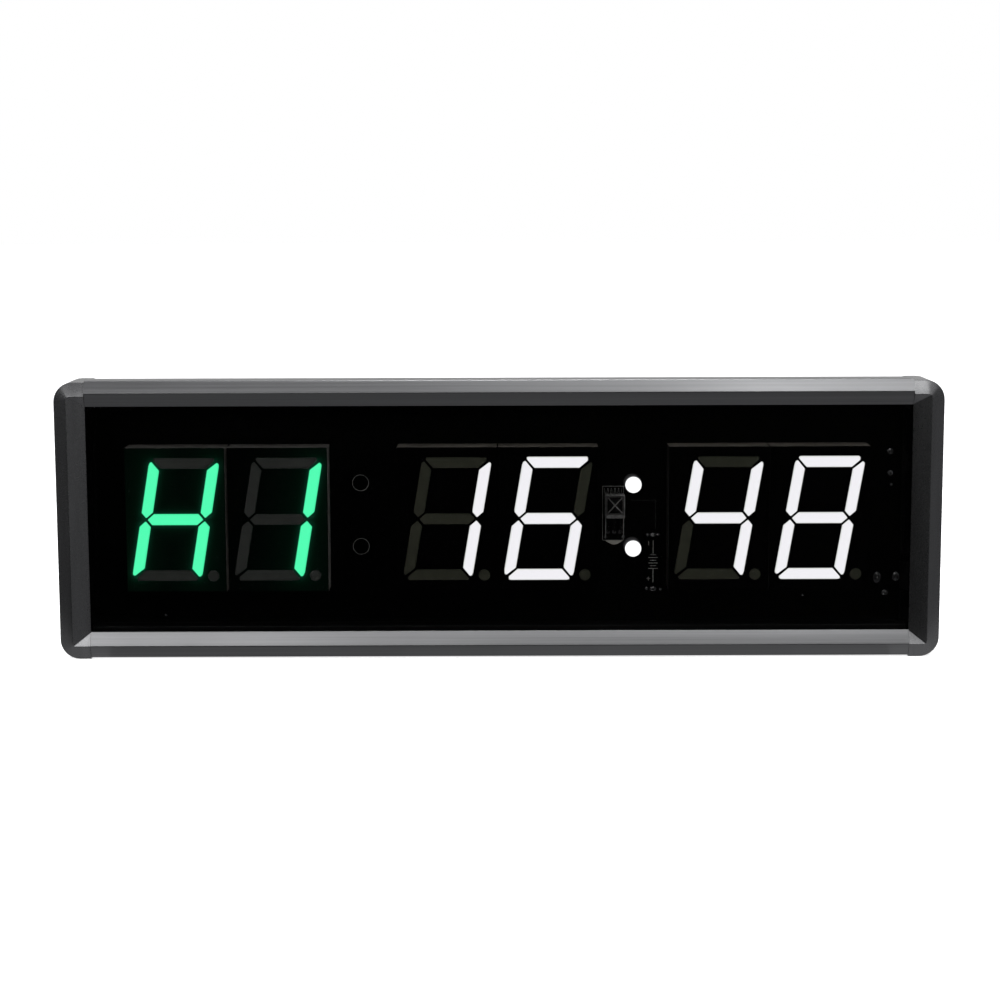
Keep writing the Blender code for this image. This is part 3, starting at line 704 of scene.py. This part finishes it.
# ---- digit modules -------------------------------------------------------------
def segment_outlines(grow=0.0):
    w, h, t, g = SEG_W, SEG_H, SEG_T + grow, SEG_GAP - grow * 0.4
    top = [(-w - t + g + 0.55, h + t - 0.15), (-w - t + g + 1.3, h + t), (w + t - g - 1.9, h + t),
           (w + t - g - 1.25, h + t - 0.15), (w + t - g - 1.1, h + t - 1.1),
           (w - t - g, h - t), (-w + t + g, h - t), (-w - t + g + 0.6, h + t - 0.7)]
    upper = [(-w - t, h - 0.7), (-w - t + 0.2, h + 0.2), (-w - t + 0.8, h + t - g - 0.8),
             (-w + t, h - t - g), (-w + t, t + g), (-w, g), (-w - t, t + g)]
    leaning = [(-w - t, h - 1.0), (-w - t + 0.15, h - 0.25), (-w - t + 0.8, h + t - g - 1.15),
               (-w + t, h - t - g), (-w + t, t + g), (-w, g), (-w - t, t + g)]
    middle = [(-w + g, 0), (-w + t + g, t), (w - t - g, t), (w - g, 0), (w - t - g, -t), (-w + t + g, -t)]
    shapes = {"a": top, "b": [(-x, z) for x, z in leaning], "c": [(-x, -z) for x, z in upper],
              "d": [(-x, -z) for x, z in top], "e": [(x, -z) for x, z in leaning], "f": upper, "g": middle}
    out = {k: [(x + SLANT * z, z) for x, z in v] for k, v in shapes.items()}
    r = POINT_R + grow
    out["point"] = [(POINT_X + r * math.cos(math.radians(10 * i)), POINT_Z + r * math.sin(math.radians(10 * i))) for i in range(36)]
    return out


def centre_line(key):
    """The line that a segment's LEDs sit on."""
    w, h, s = SEG_W, SEG_H, SLANT
    ends = {"a": ((-w + 1, h), (w - 1, h)), "d": ((-w + 1, -h), (w - 1, -h)), "g": ((-w + 1.6, 0), (w - 1.6, 0)),
            "f": ((-w, 2), (-w, h - 1)), "b": ((w, 2), (w, h - 1)), "e": ((-w, -h + 1), (-w, -2)), "c": ((w, -h + 1), (w, -2))}
    (ax, az), (bx, bz) = ends[key]
    return Vector((ax + s * az, az)), Vector((bx + s * bz, bz))


def from_line(p, a, b):
    d = b - a
    t = min(max((p - a).dot(d) / d.length_squared, 0.0), 1.0)
    return (p - (a + d * t)).length, t


def guide_piece(n, x, z):
    """The milky filling of one digit: a plate, seven segments with softly crowned faces, and the point."""
    low, high = SPAN["digit_%d_light_guide" % n]
    bm = bmesh.new()
    warmth = bm.verts.layers.float.new("led_glow")
    block((low[0], y_of(7.7), low[2]), (high[0], high[1], high[2]), bm)
    for key, outline in segment_outlines().items():
        bright = 1 if key in LIT[n] else 0
        shape = outline if key == "point" else soft(outline, 0.30, 3)
        if key == "point":
            a = b = Vector((POINT_X, POINT_Z))
        else:
            a, b = centre_line(key)
        middle = (a + b) / 2
        rings = []
        for depth, pull in ((7.68, 0.0), (0.16, 0.0), (0.08, 0.06), (0.05, 0.16), (0.05, 0.5), (0.05, 0.95), (0.05, 1.35)):
            ring = []
            for u, v in shape:
                p = Vector((u, v))
                if a == b:
                    q = p + (middle - p).normalized() * pull
                else:
                    d = b - a
                    t = min(max((p - a).dot(d) / d.length_squared, 0.0), 1.0)
                    away = p - (a + d * t)
                    q = p - away.normalized() * min(pull, away.length * 0.86) if away.length > 1e-6 else p
                vert = bm.verts.new(mm(x + q.x, y_of(depth), z + q.y))
                vert[warmth] = min(pull / 0.95, 1.0)
                ring.append(vert)
            rings.append(ring)
        for one, two in zip(rings, rings[1:]):
            for i in range(len(one)):
                j = (i + 1) % len(one)
                bm.faces.new((one[i], one[j], two[j], two[i])).material_index = bright
        bm.faces.new(rings[0][::-1]).material_index = bright
        bm.faces.new(rings[-1]).material_index = bright
    return bm


def housing_piece(n, x, z):
    """One module's case: a fine-meshed printed face with the seven windows, carrying a painted glow round the lit
    segments, and the hollow back.
    """
    low, high = SPAN["digit_%d_housing" % n]
    nx, nz, lip = 34, 48, 0.22
    bm = bmesh.new()
    grid = [[bm.verts.new(mm(low[0] + lip + (high[0] - low[0] - 2 * lip) * i / nx, low[1], low[2] + lip + (high[2] - low[2] - 2 * lip) * j / nz))
             for j in range(nz + 1)] for i in range(nx + 1)]
    for i in range(nx):
        for j in range(nz):
            bm.faces.new((grid[i][j], grid[i + 1][j], grid[i + 1][j + 1], grid[i][j + 1]))
    rim = [grid[i][0] for i in range(nx + 1)] + [grid[nx][j] for j in range(1, nz + 1)]
    rim += [grid[i][nz] for i in range(nx - 1, -1, -1)] + [grid[0][j] for j in range(nz - 1, 0, -1)]

    def stretched(grow, depth):
        out = []
        for v in rim:
            px, pz = v.co.x / MM, v.co.z / MM
            px += grow if px > high[0] - lip - 1e-3 else -grow if px < low[0] + lip + 1e-3 else 0
            pz += grow if pz > high[2] - lip - 1e-3 else -grow if pz < low[2] + lip + 1e-3 else 0
            out.append(bm.verts.new(mm(px, low[1] + depth, pz)))
        return out

    rings = [rim, stretched(lip * 0.7, lip * 0.3), stretched(lip, lip), stretched(lip, high[1] - low[1])]
    for k, (one, two) in enumerate(zip(rings, rings[1:])):
        for i in range(len(one)):
            j = (i + 1) % len(one)
            face = bm.faces.new((one[i], one[j], two[j], two[i]))
            # the top and back keep the body colour; the other side walls take the darker copy, painted shade
            level = abs(one[i].co.z - one[j].co.z) < 1e-7 and one[i].co.z / MM > high[2] - 1.0
            face.material_index = (1 if level else 2) if k == 2 else 0
    bm.faces.new(rings[-1]).material_index = 1
    windows = bmesh.new()
    for key, outline in segment_outlines(0.16).items():
        shape = outline if key == "point" else soft(outline, 0.30, 3)
        prism([(x + u, z + v) for u, v in shape], "Y", y_of(-2), y_of(9), windows, 0)
    hollow = block((low[0] + 1.3, y_of(7.4), low[2] + 1.3), (high[0] - 1.3, y_of(12.2), high[2] - 1.3), None, 0.0, 1)
    bm = carve(bm, [hollow, windows])
    # painted glow on the face: strong right beside each lit segment, with a long faint tail
    painted_glow = bm.verts.layers.float.new("painted_glow")
    lines = [centre_line(k) for k in LIT[n]]
    for v in bm.verts:
        if v.co.y / MM < low[1] + 0.05:
            p = Vector((v.co.x / MM - x, v.co.z / MM - z))
            near = min(from_line(p, a, b)[0] for a, b in lines) - SEG_T
            near = max(near, 0.0)
            v[painted_glow] = 0.85 * math.exp(-near / 0.55) + 0.13 * math.exp(-near / 7.0)
        else:
            v[painted_glow] = 0.0
    return bm


for n in range(1, 7):
    low, high = SPAN["digit_%d_housing" % n]
    x, z = (low[0] + high[0]) / 2, low[2] + MODULE_LOW
    green = n < 3
    # the third slot is the side walls' painted shade
    add("digit_%d_case" % n, housing_piece(n, x, z), [FACE_GREEN_GLOW if green else FACE_PLAIN, BODY_1 if green else BODY_2, SHADED_BODY_SIDE_1 if green else SHADED_BODY_SIDE],
        replaces="digit_%d_housing" % n, smooth=30)
    add("digit_%d_segments" % n, guide_piece(n, x, z), [UNLIT_1 if green else UNLIT_2, LIT_GREEN if green else LIT_WHITE],
        replaces="digit_%d_light_guide" % n, smooth=40)

# ---- colon lamps -----------------------------------------------------------------
for n in (1, 2):
    name = "colon_lamp_%d" % n
    low, high = SPAN[name]
    x, z = (low[0] + high[0]) / 2, (low[2] + high[2]) / 2
    at = (x, y_of(10.2), z)
    dome = [(2.5 * math.sin(math.radians(a)), 6.1 + 2.5 * math.cos(math.radians(a))) for a in range(0, 91, 9)]
    profile = [*dome, (2.5, 5.0), (2.5, 3.0), (2.5, 1.1), (2.55, 1.0), (2.68, 1.0), (2.74, 0.92), (2.74, 0.1), (2.68, 0.0), (0.0, 0.0)]
    bm = lathe(profile, 44, None, FRONTWARD, at)
    warmth = bm.verts.layers.float.new("led_glow")
    for v in bm.verts:
        ahead = (y_of(10.2) - v.co.y / MM)
        v[warmth] = min(max((ahead - 2.0) / 4.8, 0.0), 1.0)
    add(name + "_lens", bm, [LAMP_LIT], replaces=name, smooth=50)

# ---- infrared receiver --------------------------------------------------------------
low, high = SPAN["ir_receiver_shield"]
ir_x, ir_z = (low[0] + high[0]) / 2, (low[2] + high[2]) / 2
bm = block(low, high, None, 0.34)
bm = carve(bm, [block((ir_x - 2.8, y_of(5.3), ir_z - 5.0), (ir_x + 2.8, y_of(12), ir_z + 3.4))])
opening = soft([(ir_x - 2.3, ir_z - 2.1), (ir_x + 2.3, ir_z - 2.1), (ir_x + 2.3, ir_z + 2.9), (ir_x - 2.3, ir_z + 2.9)], 0.5, 4)
bm = carve(bm, [prism(opening, "Y", y_of(3), y_of(5.6))])
for sign in (-1, 1):
    along = Vector((4.7 * sign, 5.1)).normalized()
    dx, dz = along
    strip = [(ir_x + 3.4 * s * dx - 0.17 * t * dz, ir_z + 0.4 + 3.4 * s * dz + 0.17 * t * dx) for s, t in ((-1, -1), (1, -1), (1, 1), (-1, 1))]
    prism(strip, "Y", y_of(5.02), y_of(5.28), bm)
# the folded hem under the window, and the two long tabs that run down to the board
block((ir_x - 2.6, y_of(4.93), ir_z - 3.35), (ir_x + 2.6, y_of(5.1), ir_z - 2.5), bm, 0.05)
for sign in (-1, 1):
    tab = [(y_of(7.6), ir_z - 3.3), (y_of(8.4), ir_z - 3.3), (y_of(8.4), ir_z - 9.4), (y_of(8.9), ir_z - 10.0), (y_of(10.2), ir_z - 10.0),
           (y_of(10.2), ir_z - 10.35), (y_of(8.6), ir_z - 10.35), (y_of(7.6), ir_z - 9.6)]
    prism(soft(tab, 0.12, 2), "X", ir_x + sign * 2.78 - 0.16, ir_x + sign * 2.78 + 0.16, bm)
# the paler finish goes on the tabs below the shield, which are tinned, and as painted highlight on the rounded edges,
# the top face, the cross bars and the front hem
for f in bm.faces:
    f.normal_update()
    middle = f.calc_center_median() / MM
    bar = y_of(5.015) < middle.y < y_of(5.285) and abs(middle.x - ir_x) < 2.25 and -2.0 < middle.z - ir_z < 2.8
    edge = max(abs(c) for c in f.normal) < 0.98 or (f.normal.z > 0.9 and middle.z > ir_z + 3.5)
    f.material_index = 1 if bar or edge or middle.z < ir_z - 3.9 or middle.y < y_of(4.99) else 0
add("ir_receiver_screen", bm, [SHIELD, TIN_AND_HIGHLIGHT], replaces="ir_receiver_shield", smooth=30)

bm = block((ir_x - 2.4, y_of(6.2), ir_z - 3.2), (ir_x + 2.4, y_of(9.8), ir_z + 3.0), None, 0.3)
lathe([(0.0, 0.95), (0.5, 0.9), (1.0, 0.72), (1.4, 0.42), (1.7, 0.0), (0.0, -0.1)], 36, bm, FRONTWARD, (ir_x, y_of(6.25), ir_z))
for i in (-1, 0, 1):
    leg = [(y_of(8.0), ir_z - 3.0), (y_of(8.5), ir_z - 3.0), (y_of(8.5), ir_z - 7.9), (y_of(8.9), ir_z - 8.3), (y_of(10.2), ir_z - 8.3),
           (y_of(10.2), ir_z - 8.8), (y_of(8.6), ir_z - 8.8), (y_of(8.0), ir_z - 8.2)]
    prism(soft(leg, 0.12, 2), "X", ir_x + i * 1.9 - 0.25, ir_x + i * 1.9 + 0.25, bm, 1)
add("ir_receiver_body", bm, [PLASTIC, NICKEL], replaces="ir_receiver", smooth=34)


# ---- soldered joints and printing on the board's front ----------------------------------
FRONT = SPAN["main_board"][0][1] - y_of(0)       # depth of the board's front face


def joint(bm, x, z, pad=1.2, pin=0.45, stretch=1.0, tall=1.0):
    """A tinned pad, the solder that climbs the pin, and the clipped pin."""
    knee = max(1.3 * pin, 0.55 * pad)
    run = 0.92 * pad - knee
    rise = 0.10 * pad + 0.49 * stretch * run
    profile = [(0.0, tall), (pin * 0.7, tall), (pin, 0.9 * tall), (pin * 1.05, rise + 0.45 * (tall - rise)), (knee, rise),
               (knee + run / 4, rise - 0.1225 * stretch * run), (knee + run * 0.8, rise - 0.392 * stretch * run), (0.92 * pad, 0.10 * pad), (pad, 0.03), (pad, 0.0), (0.0, 0.0)]
    turn = Matrix.Diagonal((1.0, 1.0, stretch, 1.0)) @ FRONTWARD
    lathe(profile, 28, bm, turn, (x, y_of(FRONT), z))


bm = bmesh.new()
joint(bm, 117.85, 22.2, 1.25, 0.5, 1.45)
joint(bm, 123.8, 22.5, 1.15, 0.45, 1.3)
joint(bm, 120.45, 17.4, 1.1, 0.45, 0.8)
joint(bm, 121.3, 61.9, 0.95, 0.32)
joint(bm, 121.4, 55.1, 0.85, 0.32)
for i in (-1, 0, 1):
    joint(bm, ir_x + i * 1.9, ir_z - 8.6, 0.62, 0.2, 1.0, 0.55)
for i in (-1, 1):
    joint(bm, ir_x + i * 2.78, ir_z - 10.25, 0.5, 0.18, 1.0, 0.5)
joint(bm, 47.9, 35.9, 0.95, 0.35, 0.7, 0.7)
joint(bm, 47.9, 18.8, 1.1, 0.4, 0.7, 0.8)
for x, z in ((46.2, 36.0), (49.5, 36.0), (45.9, 18.9), (50.2, 18.7)):
    joint(bm, x, z, 0.5, 0.2, 0.8, 0.35)
for x, z in ((121.8, 51.5), (94.6, 16.8), (-104.5, 11.0)):
    joint(bm, x, z, 0.42, 0.16, 1.0, 0.3)
add("board_joints", bm, [SOLDER], smooth=60)


def stroke(bm, x0, z0, x1, z1, width=0.18, thick=0.03):
    a, b = Vector((x0, z0)), Vector((x1, z1))
    side = Vector((-(b - a).y, (b - a).x)).normalized() * width / 2
    pts = [a - side, b - side, b + side, a + side]
    prism([(p.x, p.y) for p in pts], "Y", y_of(FRONT - thick), y_of(FRONT), bm)


def ring_of(bm, x, z, radius, width=0.18, thick=0.03, steps=36, start=0, sweep=360):
    for k in range(steps):
        a0, a1 = math.radians(start + sweep * k / steps), math.radians(start + sweep * (k + 1) / steps)
        r0, r1 = radius - width / 2, radius + width / 2
        pts = [(x + r * math.cos(a), z + r * math.sin(a)) for r, a in ((r0, a0), (r1, a0), (r1, a1), (r0, a1))]
        prism(pts, "Y", y_of(FRONT - thick), y_of(FRONT), bm)


bm = bmesh.new()
left, right, upper, lower = 32.1, 38.6, 51.2, 34.25
for x0, z0, x1, z1 in ((left, upper, right, upper), (left, lower, right, lower), (left, upper, left, lower), (right, upper, right, lower)):
    stroke(bm, x0, z0, x1, z1, 0.2)
stroke(bm, left + 1.0, upper - 2.6, right - 1.0, upper - 2.6, 0.16)
for k in range(10):
    stroke(bm, left + 0.75 + 0.56 * k, upper - 2.25, left + 0.75 + 0.56 * k + (0.22 if k % 2 else -0.22), upper - 0.5, 0.12)
# cell symbol: two leads, alternating plates, and the plus and minus signs
stroke(bm, 47.9, 34.1, 47.9, 30.0, 0.28)
stroke(bm, 47.9, 25.1, 47.9, 20.9, 0.28)
for k, wide in enumerate((1.0, 1.5, 1.0, 1.5, 1.0, 1.5)):
    stroke(bm, 47.9 - wide, 29.57 - 0.86 * k, 47.9 + wide, 29.57 - 0.86 * k, 0.28 if k % 2 else 0.24)
stroke(bm, 46.5, 33.9, 46.5, 32.6, 0.22)
stroke(bm, 45.9, 22.1, 47.1, 22.1, 0.20)
stroke(bm, 46.5, 21.5, 46.5, 22.7, 0.20)
for x, z in ((-43.1, 52.5), (-43.1, 32.55)):     # two unfitted lamp places
    ring_of(bm, x, z, 2.5, 0.15, 0.03, 48)
for x0, z0, x1, z1 in ((41.0, 46.8, 48.6, 46.8), (48.6, 46.8, 48.6, 38.0)):
    stroke(bm, x0, z0, x1, z1, 0.035)
add("board_print", bm, [PRINT], smooth=0)

# pale moulded foot of the receiver, just under its legs
bm = bmesh.new()
foot = [(ir_x - 2.5 + 5.0 * k / 20, 34.0 - 1.05 * math.sin(math.pi * k / 20) ** 1.1) for k in range(21)]
foot += [(ir_x + 2.7, 34.2), (ir_x - 2.7, 34.2)]
prism(foot, "Y", y_of(FRONT - 0.5), y_of(FRONT - 0.02), bm)
RESIN = plastic("receiver_foot", 0.72, 0.5, 1.5, 0.3, -0.06)
add("ir_receiver_foot", bm, [RESIN], smooth=30)

# ---- hangers -----------------------------------------------------------------------------
HANGER_SECTION = ((26.3, 4.8), (27.8, 4.8), (27.8, 14.0), (29.3, 15.8), (29.3, 31.0), (27.8, 31.0), (27.8, 16.4), (26.3, 14.6))
for word, body in (("left", LEFT), ("right", RIGHT)):
    low, high = SPAN["hanger_" + word]
    x = (low[0] + high[0]) / 2
    section = soft([(y_of(a), rail_z(b, True)) for a, b in HANGER_SECTION], [0.25, 0.25, 0.9, 1.5, 0.3, 0.3, 0.9, 1.5], 4)
    plate = prism(section, "X", x - 9.0, x + 9.0)
    z0, z1 = rail_z(31.0, True), rail_z(4.8, True)
    outline = soft([(x - 9, z0), (x + 9, z0), (x + 9, z1), (x - 9, z1)], 2.2, 8)
    plate = carve(plate, [prism(outline, "Y", y_of(25), y_of(31))], "INTERSECT")
    neck = [(x - 2.3, rail_z(25.0, True))]
    for i in range(17):
        a = math.radians(180 - 180 * i / 16)
        neck.append((x + 2.3 * math.cos(a), rail_z(19.6, True) + 2.3 * math.sin(a)))
    neck.append((x + 2.3, rail_z(25.0, True)))
    mid = rail_z(SLOT_MID_H, True)
    plate = carve(plate, [
        rod(3.75, "Y", y_of(25), y_of(32), (x, rail_z(25.0, True)), 48),
        prism(neck, "Y", y_of(25), y_of(32)),
        rod(1.75, "Y", y_of(24), y_of(30), (x, mid), 32),
        rod(1.75, "Y", y_of(26.5), y_of(28.1), (x, mid), 40, 3.6),
    ])
    obj = add("hanger_%s_plate" % word, plate, [ZINC], body, "hanger_" + word, 30)
    mod = obj.modifiers.new("edge", "BEVEL")
    mod.width, mod.segments, mod.limit_method, mod.angle_limit = 0.12 * MM, 2, "ANGLE", math.radians(50)
    at = (x, y_of(27.8), mid)
    shank = [(0.0, 0.0), (1.6, 0.0), (2.75, -0.02), (2.85, -0.12), (2.8, -0.3), (1.45, -1.5)]
    body_of_screw = lathe([*shank, *threads(1.4, 1.12, -1.9, -5.3, 0.5), (0.9, -5.85), (0.0, -5.9)], 40, None, REARWARD, at)
    cross = driver_cross(1.6, 1.0, 0.0, REARWARD, at)
    add("hanger_screw_%s_head" % word, carve(body_of_screw, cross), [SCREW], body, "hanger_screw_" + word, 30)
    low, high = SPAN["hanger_nut_" + word]
    nut = carve(block(low, high, None, 0.35), [rod(1.8, "Y", y_of(20), y_of(26), (x, mid), 32)])
    add("hanger_nut_%s_square" % word, nut, [ZINC], body, "hanger_nut_" + word, 30)

# ---- inner pieces that keep their own shape ------------------------------------------------
for name, mat in (
    ("dc_jack", PLASTIC), ("dc_jack_pin", NICKEL), ("buzzer", PLASTIC), ("coin_cell_holder", PLASTIC),
    ("coin_cell", NICKEL), ("coin_cell_clip", NICKEL), ("microcontroller", CHIP), ("led_driver_1", CHIP),
    ("led_driver_2", CHIP), ("clock_chip", CHIP), ("clock_crystal", NICKEL), ("voltage_regulator", CHIP),
    ("supply_capacitor", PLASTIC), *(("digit_%d_led_board" % n, BOARD) for n in range(1, 7)),
):
    piece = nodes[name]
    piece.data.materials.clear()
    piece.data.materials.append(mat)
    piece.data.shade_smooth()
    piece.data.set_sharp_from_angle(angle=math.radians(35))


# ---- studio ----------------------------------------------------------------------------------
def area(name, at, aim, size, radiance, color=(1, 1, 1), seen_in_gloss=True):
    """A soft panel of a stated brightness, size in metres."""
    data = bpy.data.lights.new(name, "AREA")
    data.shape = "RECTANGLE"
    data.size, data.size_y = size
    data.energy = radiance * math.pi * size[0] * size[1]
    data.color = color
    obj = bpy.data.objects.new(name, data)
    bpy.context.scene.collection.objects.link(obj)
    obj.location = at
    obj.rotation_euler = (Vector(aim) - Vector(at)).to_track_quat("-Z", "Y").to_euler()
    obj.visible_camera = False
    obj.visible_glossy = seen_in_gloss
    return obj


def strip(name, y, z, tall, aim_z, stops, step=0.06, reach=0.27):
    """A row of small panels in front of the object whose brightness follows stops along X."""
    count = round(2 * reach / step)
    for k in range(count):
        x = -reach + (k + 0.5) * step
        value = stops[0][1] if x < stops[0][0] else stops[-1][1]
        for (x0, v0), (x1, v1) in zip(stops, stops[1:]):
            if x0 <= x <= x1:
                value = v0 + (v1 - v0) * (x - x0) / (x1 - x0)
        area("%s_%d" % (name, k), (x, y, z), (x, -0.016, aim_z), (step, tall), value)


area("overhead", (0.0, -0.15, 1.30), (0.0, 0.0, 0.0), (1.5, 1.2), 3.0, (1, 1, 1), False)
area("glint", (0.05, -0.15, 0.95), (0.0, 0.0, 0.04), (0.22, 0.22), 18.0)
area("front_fill", (0.0, -0.80, 0.50), (0.0, 0.0, 0.05), (0.9, 0.5), 5.5, (1, 1, 1), False)
strip("upper_strip", -0.18, 0.268, 0.075, 0.084, ((-0.39, 0.45), (-0.27, 0.40), (-0.20, 0.06), (-0.16, 0.0), (-0.06, 0.0), (0.0, 0.66), (0.06, 0.94), (0.12, 3.25), (0.155, 3.5), (0.18, 2.0), (0.24, 0.35), (0.39, 0.4)), reach=0.39)
strip("lower_strip", -0.18, 0.152, 0.068, 0.006, ((-0.21, 2.45), (-0.16, 2.36), (-0.08, 1.57), (0.0, 0.86), (0.08, 0.46), (0.16, 0.56)))
for k, value in enumerate((0.12, 0.11, 0.045, 0.045, 0.05, 0.06, 0.07, 0.08, 0.082, 0.09, 0.15, 0.17)):
    x = -0.165 + 0.03 * k
    area("table_bounce_%d" % k, (x, -0.0245, 0.0003), (x, -0.0245, 1.0), (0.03, 0.019), value)

world = bpy.data.worlds.new("studio")
bpy.context.scene.world = world
world.use_nodes = True
tree = world.node_tree
tree.nodes.clear()


def wnode(kind, **settings):
    n = tree.nodes.new(kind)
    for key, value in settings.items():
        setattr(n, key, value)
    return n


def wmath(operation, a, b):
    n = wnode("ShaderNodeMath", operation=operation)
    for i, v in enumerate((a, b)):
        if isinstance(v, (int, float)):
            n.inputs[i].default_value = v
        else:
            tree.links.new(v, n.inputs[i])
    return n.outputs[0]


coords = wnode("ShaderNodeTexCoord")
split = wnode("ShaderNodeSeparateXYZ")
tree.links.new(coords.outputs["Generated"], split.inputs[0])
height = wmath("MULTIPLY_ADD", split.outputs["Z"], 0.5)
height.node.inputs[2].default_value = 0.5
room = wnode("ShaderNodeValToRGB")
sides = wnode("ShaderNodeValToRGB")
for ramp, stops in (
    (room, ((0.0, 0.155), (0.16, 0.145), (0.34, 0.10), (0.47, 0.055), (0.60, 0.09), (0.72, 0.13), (0.86, 0.205), (1.0, 0.32))),
    (sides, ((0.0, 0.08), (0.075, 0.068), (0.20, 0.022), (0.275, 0.0), (0.45, 0.006), (0.60, 0.06), (0.747, 0.105), (0.925, 0.122), (1.0, 0.12))),
):
    while len(ramp.color_ramp.elements) < len(stops):
        ramp.color_ramp.elements.new(0.5)
    for element, (position, value) in zip(ramp.color_ramp.elements, stops):
        element.position = position
        element.color = (value, value, value * 1.03, 1)
tree.links.new(height, room.inputs["Fac"])
turned = wmath("MULTIPLY_ADD", split.outputs["X"], 0.5)
turned.node.inputs[2].default_value = 0.5
tree.links.new(turned, sides.inputs["Fac"])
level = wnode("ShaderNodeMapRange", interpolation_type="SMOOTHSTEP")
for key, value in (("From Min", 0.30), ("From Max", 0.72), ("To Min", 1.0), ("To Max", 0.0)):
    level.inputs[key].default_value = value
tree.links.new(wmath("ABSOLUTE", split.outputs["Z"], 0.0), level.inputs["Value"])
across = wmath("MULTIPLY_ADD", split.outputs["X"], 0.15)
across.node.inputs[2].default_value = 1.0
behind = wnode("ShaderNodeMapRange", interpolation_type="SMOOTHSTEP")
for key, value in (("From Min", 0.1), ("From Max", 0.8), ("To Min", 0.0), ("To Max", 0.55)):
    behind.inputs[key].default_value = value
tree.links.new(split.outputs["Y"], behind.inputs["Value"])
side_lit = wnode("ShaderNodeVectorMath", operation="SCALE")
tree.links.new(room.outputs["Color"], side_lit.inputs[0])
tree.links.new(across, side_lit.inputs["Scale"])
whole = wnode("ShaderNodeMix", data_type="RGBA", blend_type="ADD")
whole.inputs[0].default_value = 1.0
round_about = wnode("ShaderNodeMix", data_type="RGBA")
tree.links.new(level.outputs["Result"], round_about.inputs[0])
tree.links.new(side_lit.outputs[0], round_about.inputs[6])
tree.links.new(sides.outputs["Color"], round_about.inputs[7])
tree.links.new(round_about.outputs[2], whole.inputs[6])
tree.links.new(behind.outputs["Result"], whole.inputs[7])
seen, lighting = wnode("ShaderNodeBackground"), wnode("ShaderNodeBackground")
seen.inputs["Color"].default_value = (1, 1, 1, 1)
seen.inputs["Strength"].default_value = 1.0
tree.links.new(whole.outputs[2], lighting.inputs["Color"])
path = wnode("ShaderNodeLightPath")
choose = wnode("ShaderNodeMixShader")
tree.links.new(path.outputs["Is Camera Ray"], choose.inputs["Fac"])
tree.links.new(lighting.outputs[0], choose.inputs[1])
tree.links.new(seen.outputs[0], choose.inputs[2])
tree.links.new(choose.outputs[0], wnode("ShaderNodeOutputWorld").inputs["Surface"])

bm = bmesh.new()
bmesh.ops.create_circle(bm, cap_ends=True, segments=96, radius=6.0)
bmesh.ops.translate(bm, vec=(0, 0, cad_low.z - 0.0002), verts=bm.verts)
paper = Look("paper", (0.86, 0.86, 0.86), 0.8, 0.0, 0.1)
fibre = paper.noise(0.05, 0.05, 0.05, 2.0, 0.5)
paper.rough(paper.span(fibre, 0.3, 0.7, 0.75, 0.85))
paper.glow((1, 1, 1), 0.75)
floor = add("floor", bm, [paper.mat], body=None, smooth=0)
floor.visible_glossy = False

bpy.context.scene.view_settings.view_transform = "Standard"
bpy.context.scene.view_settings.look = "None"
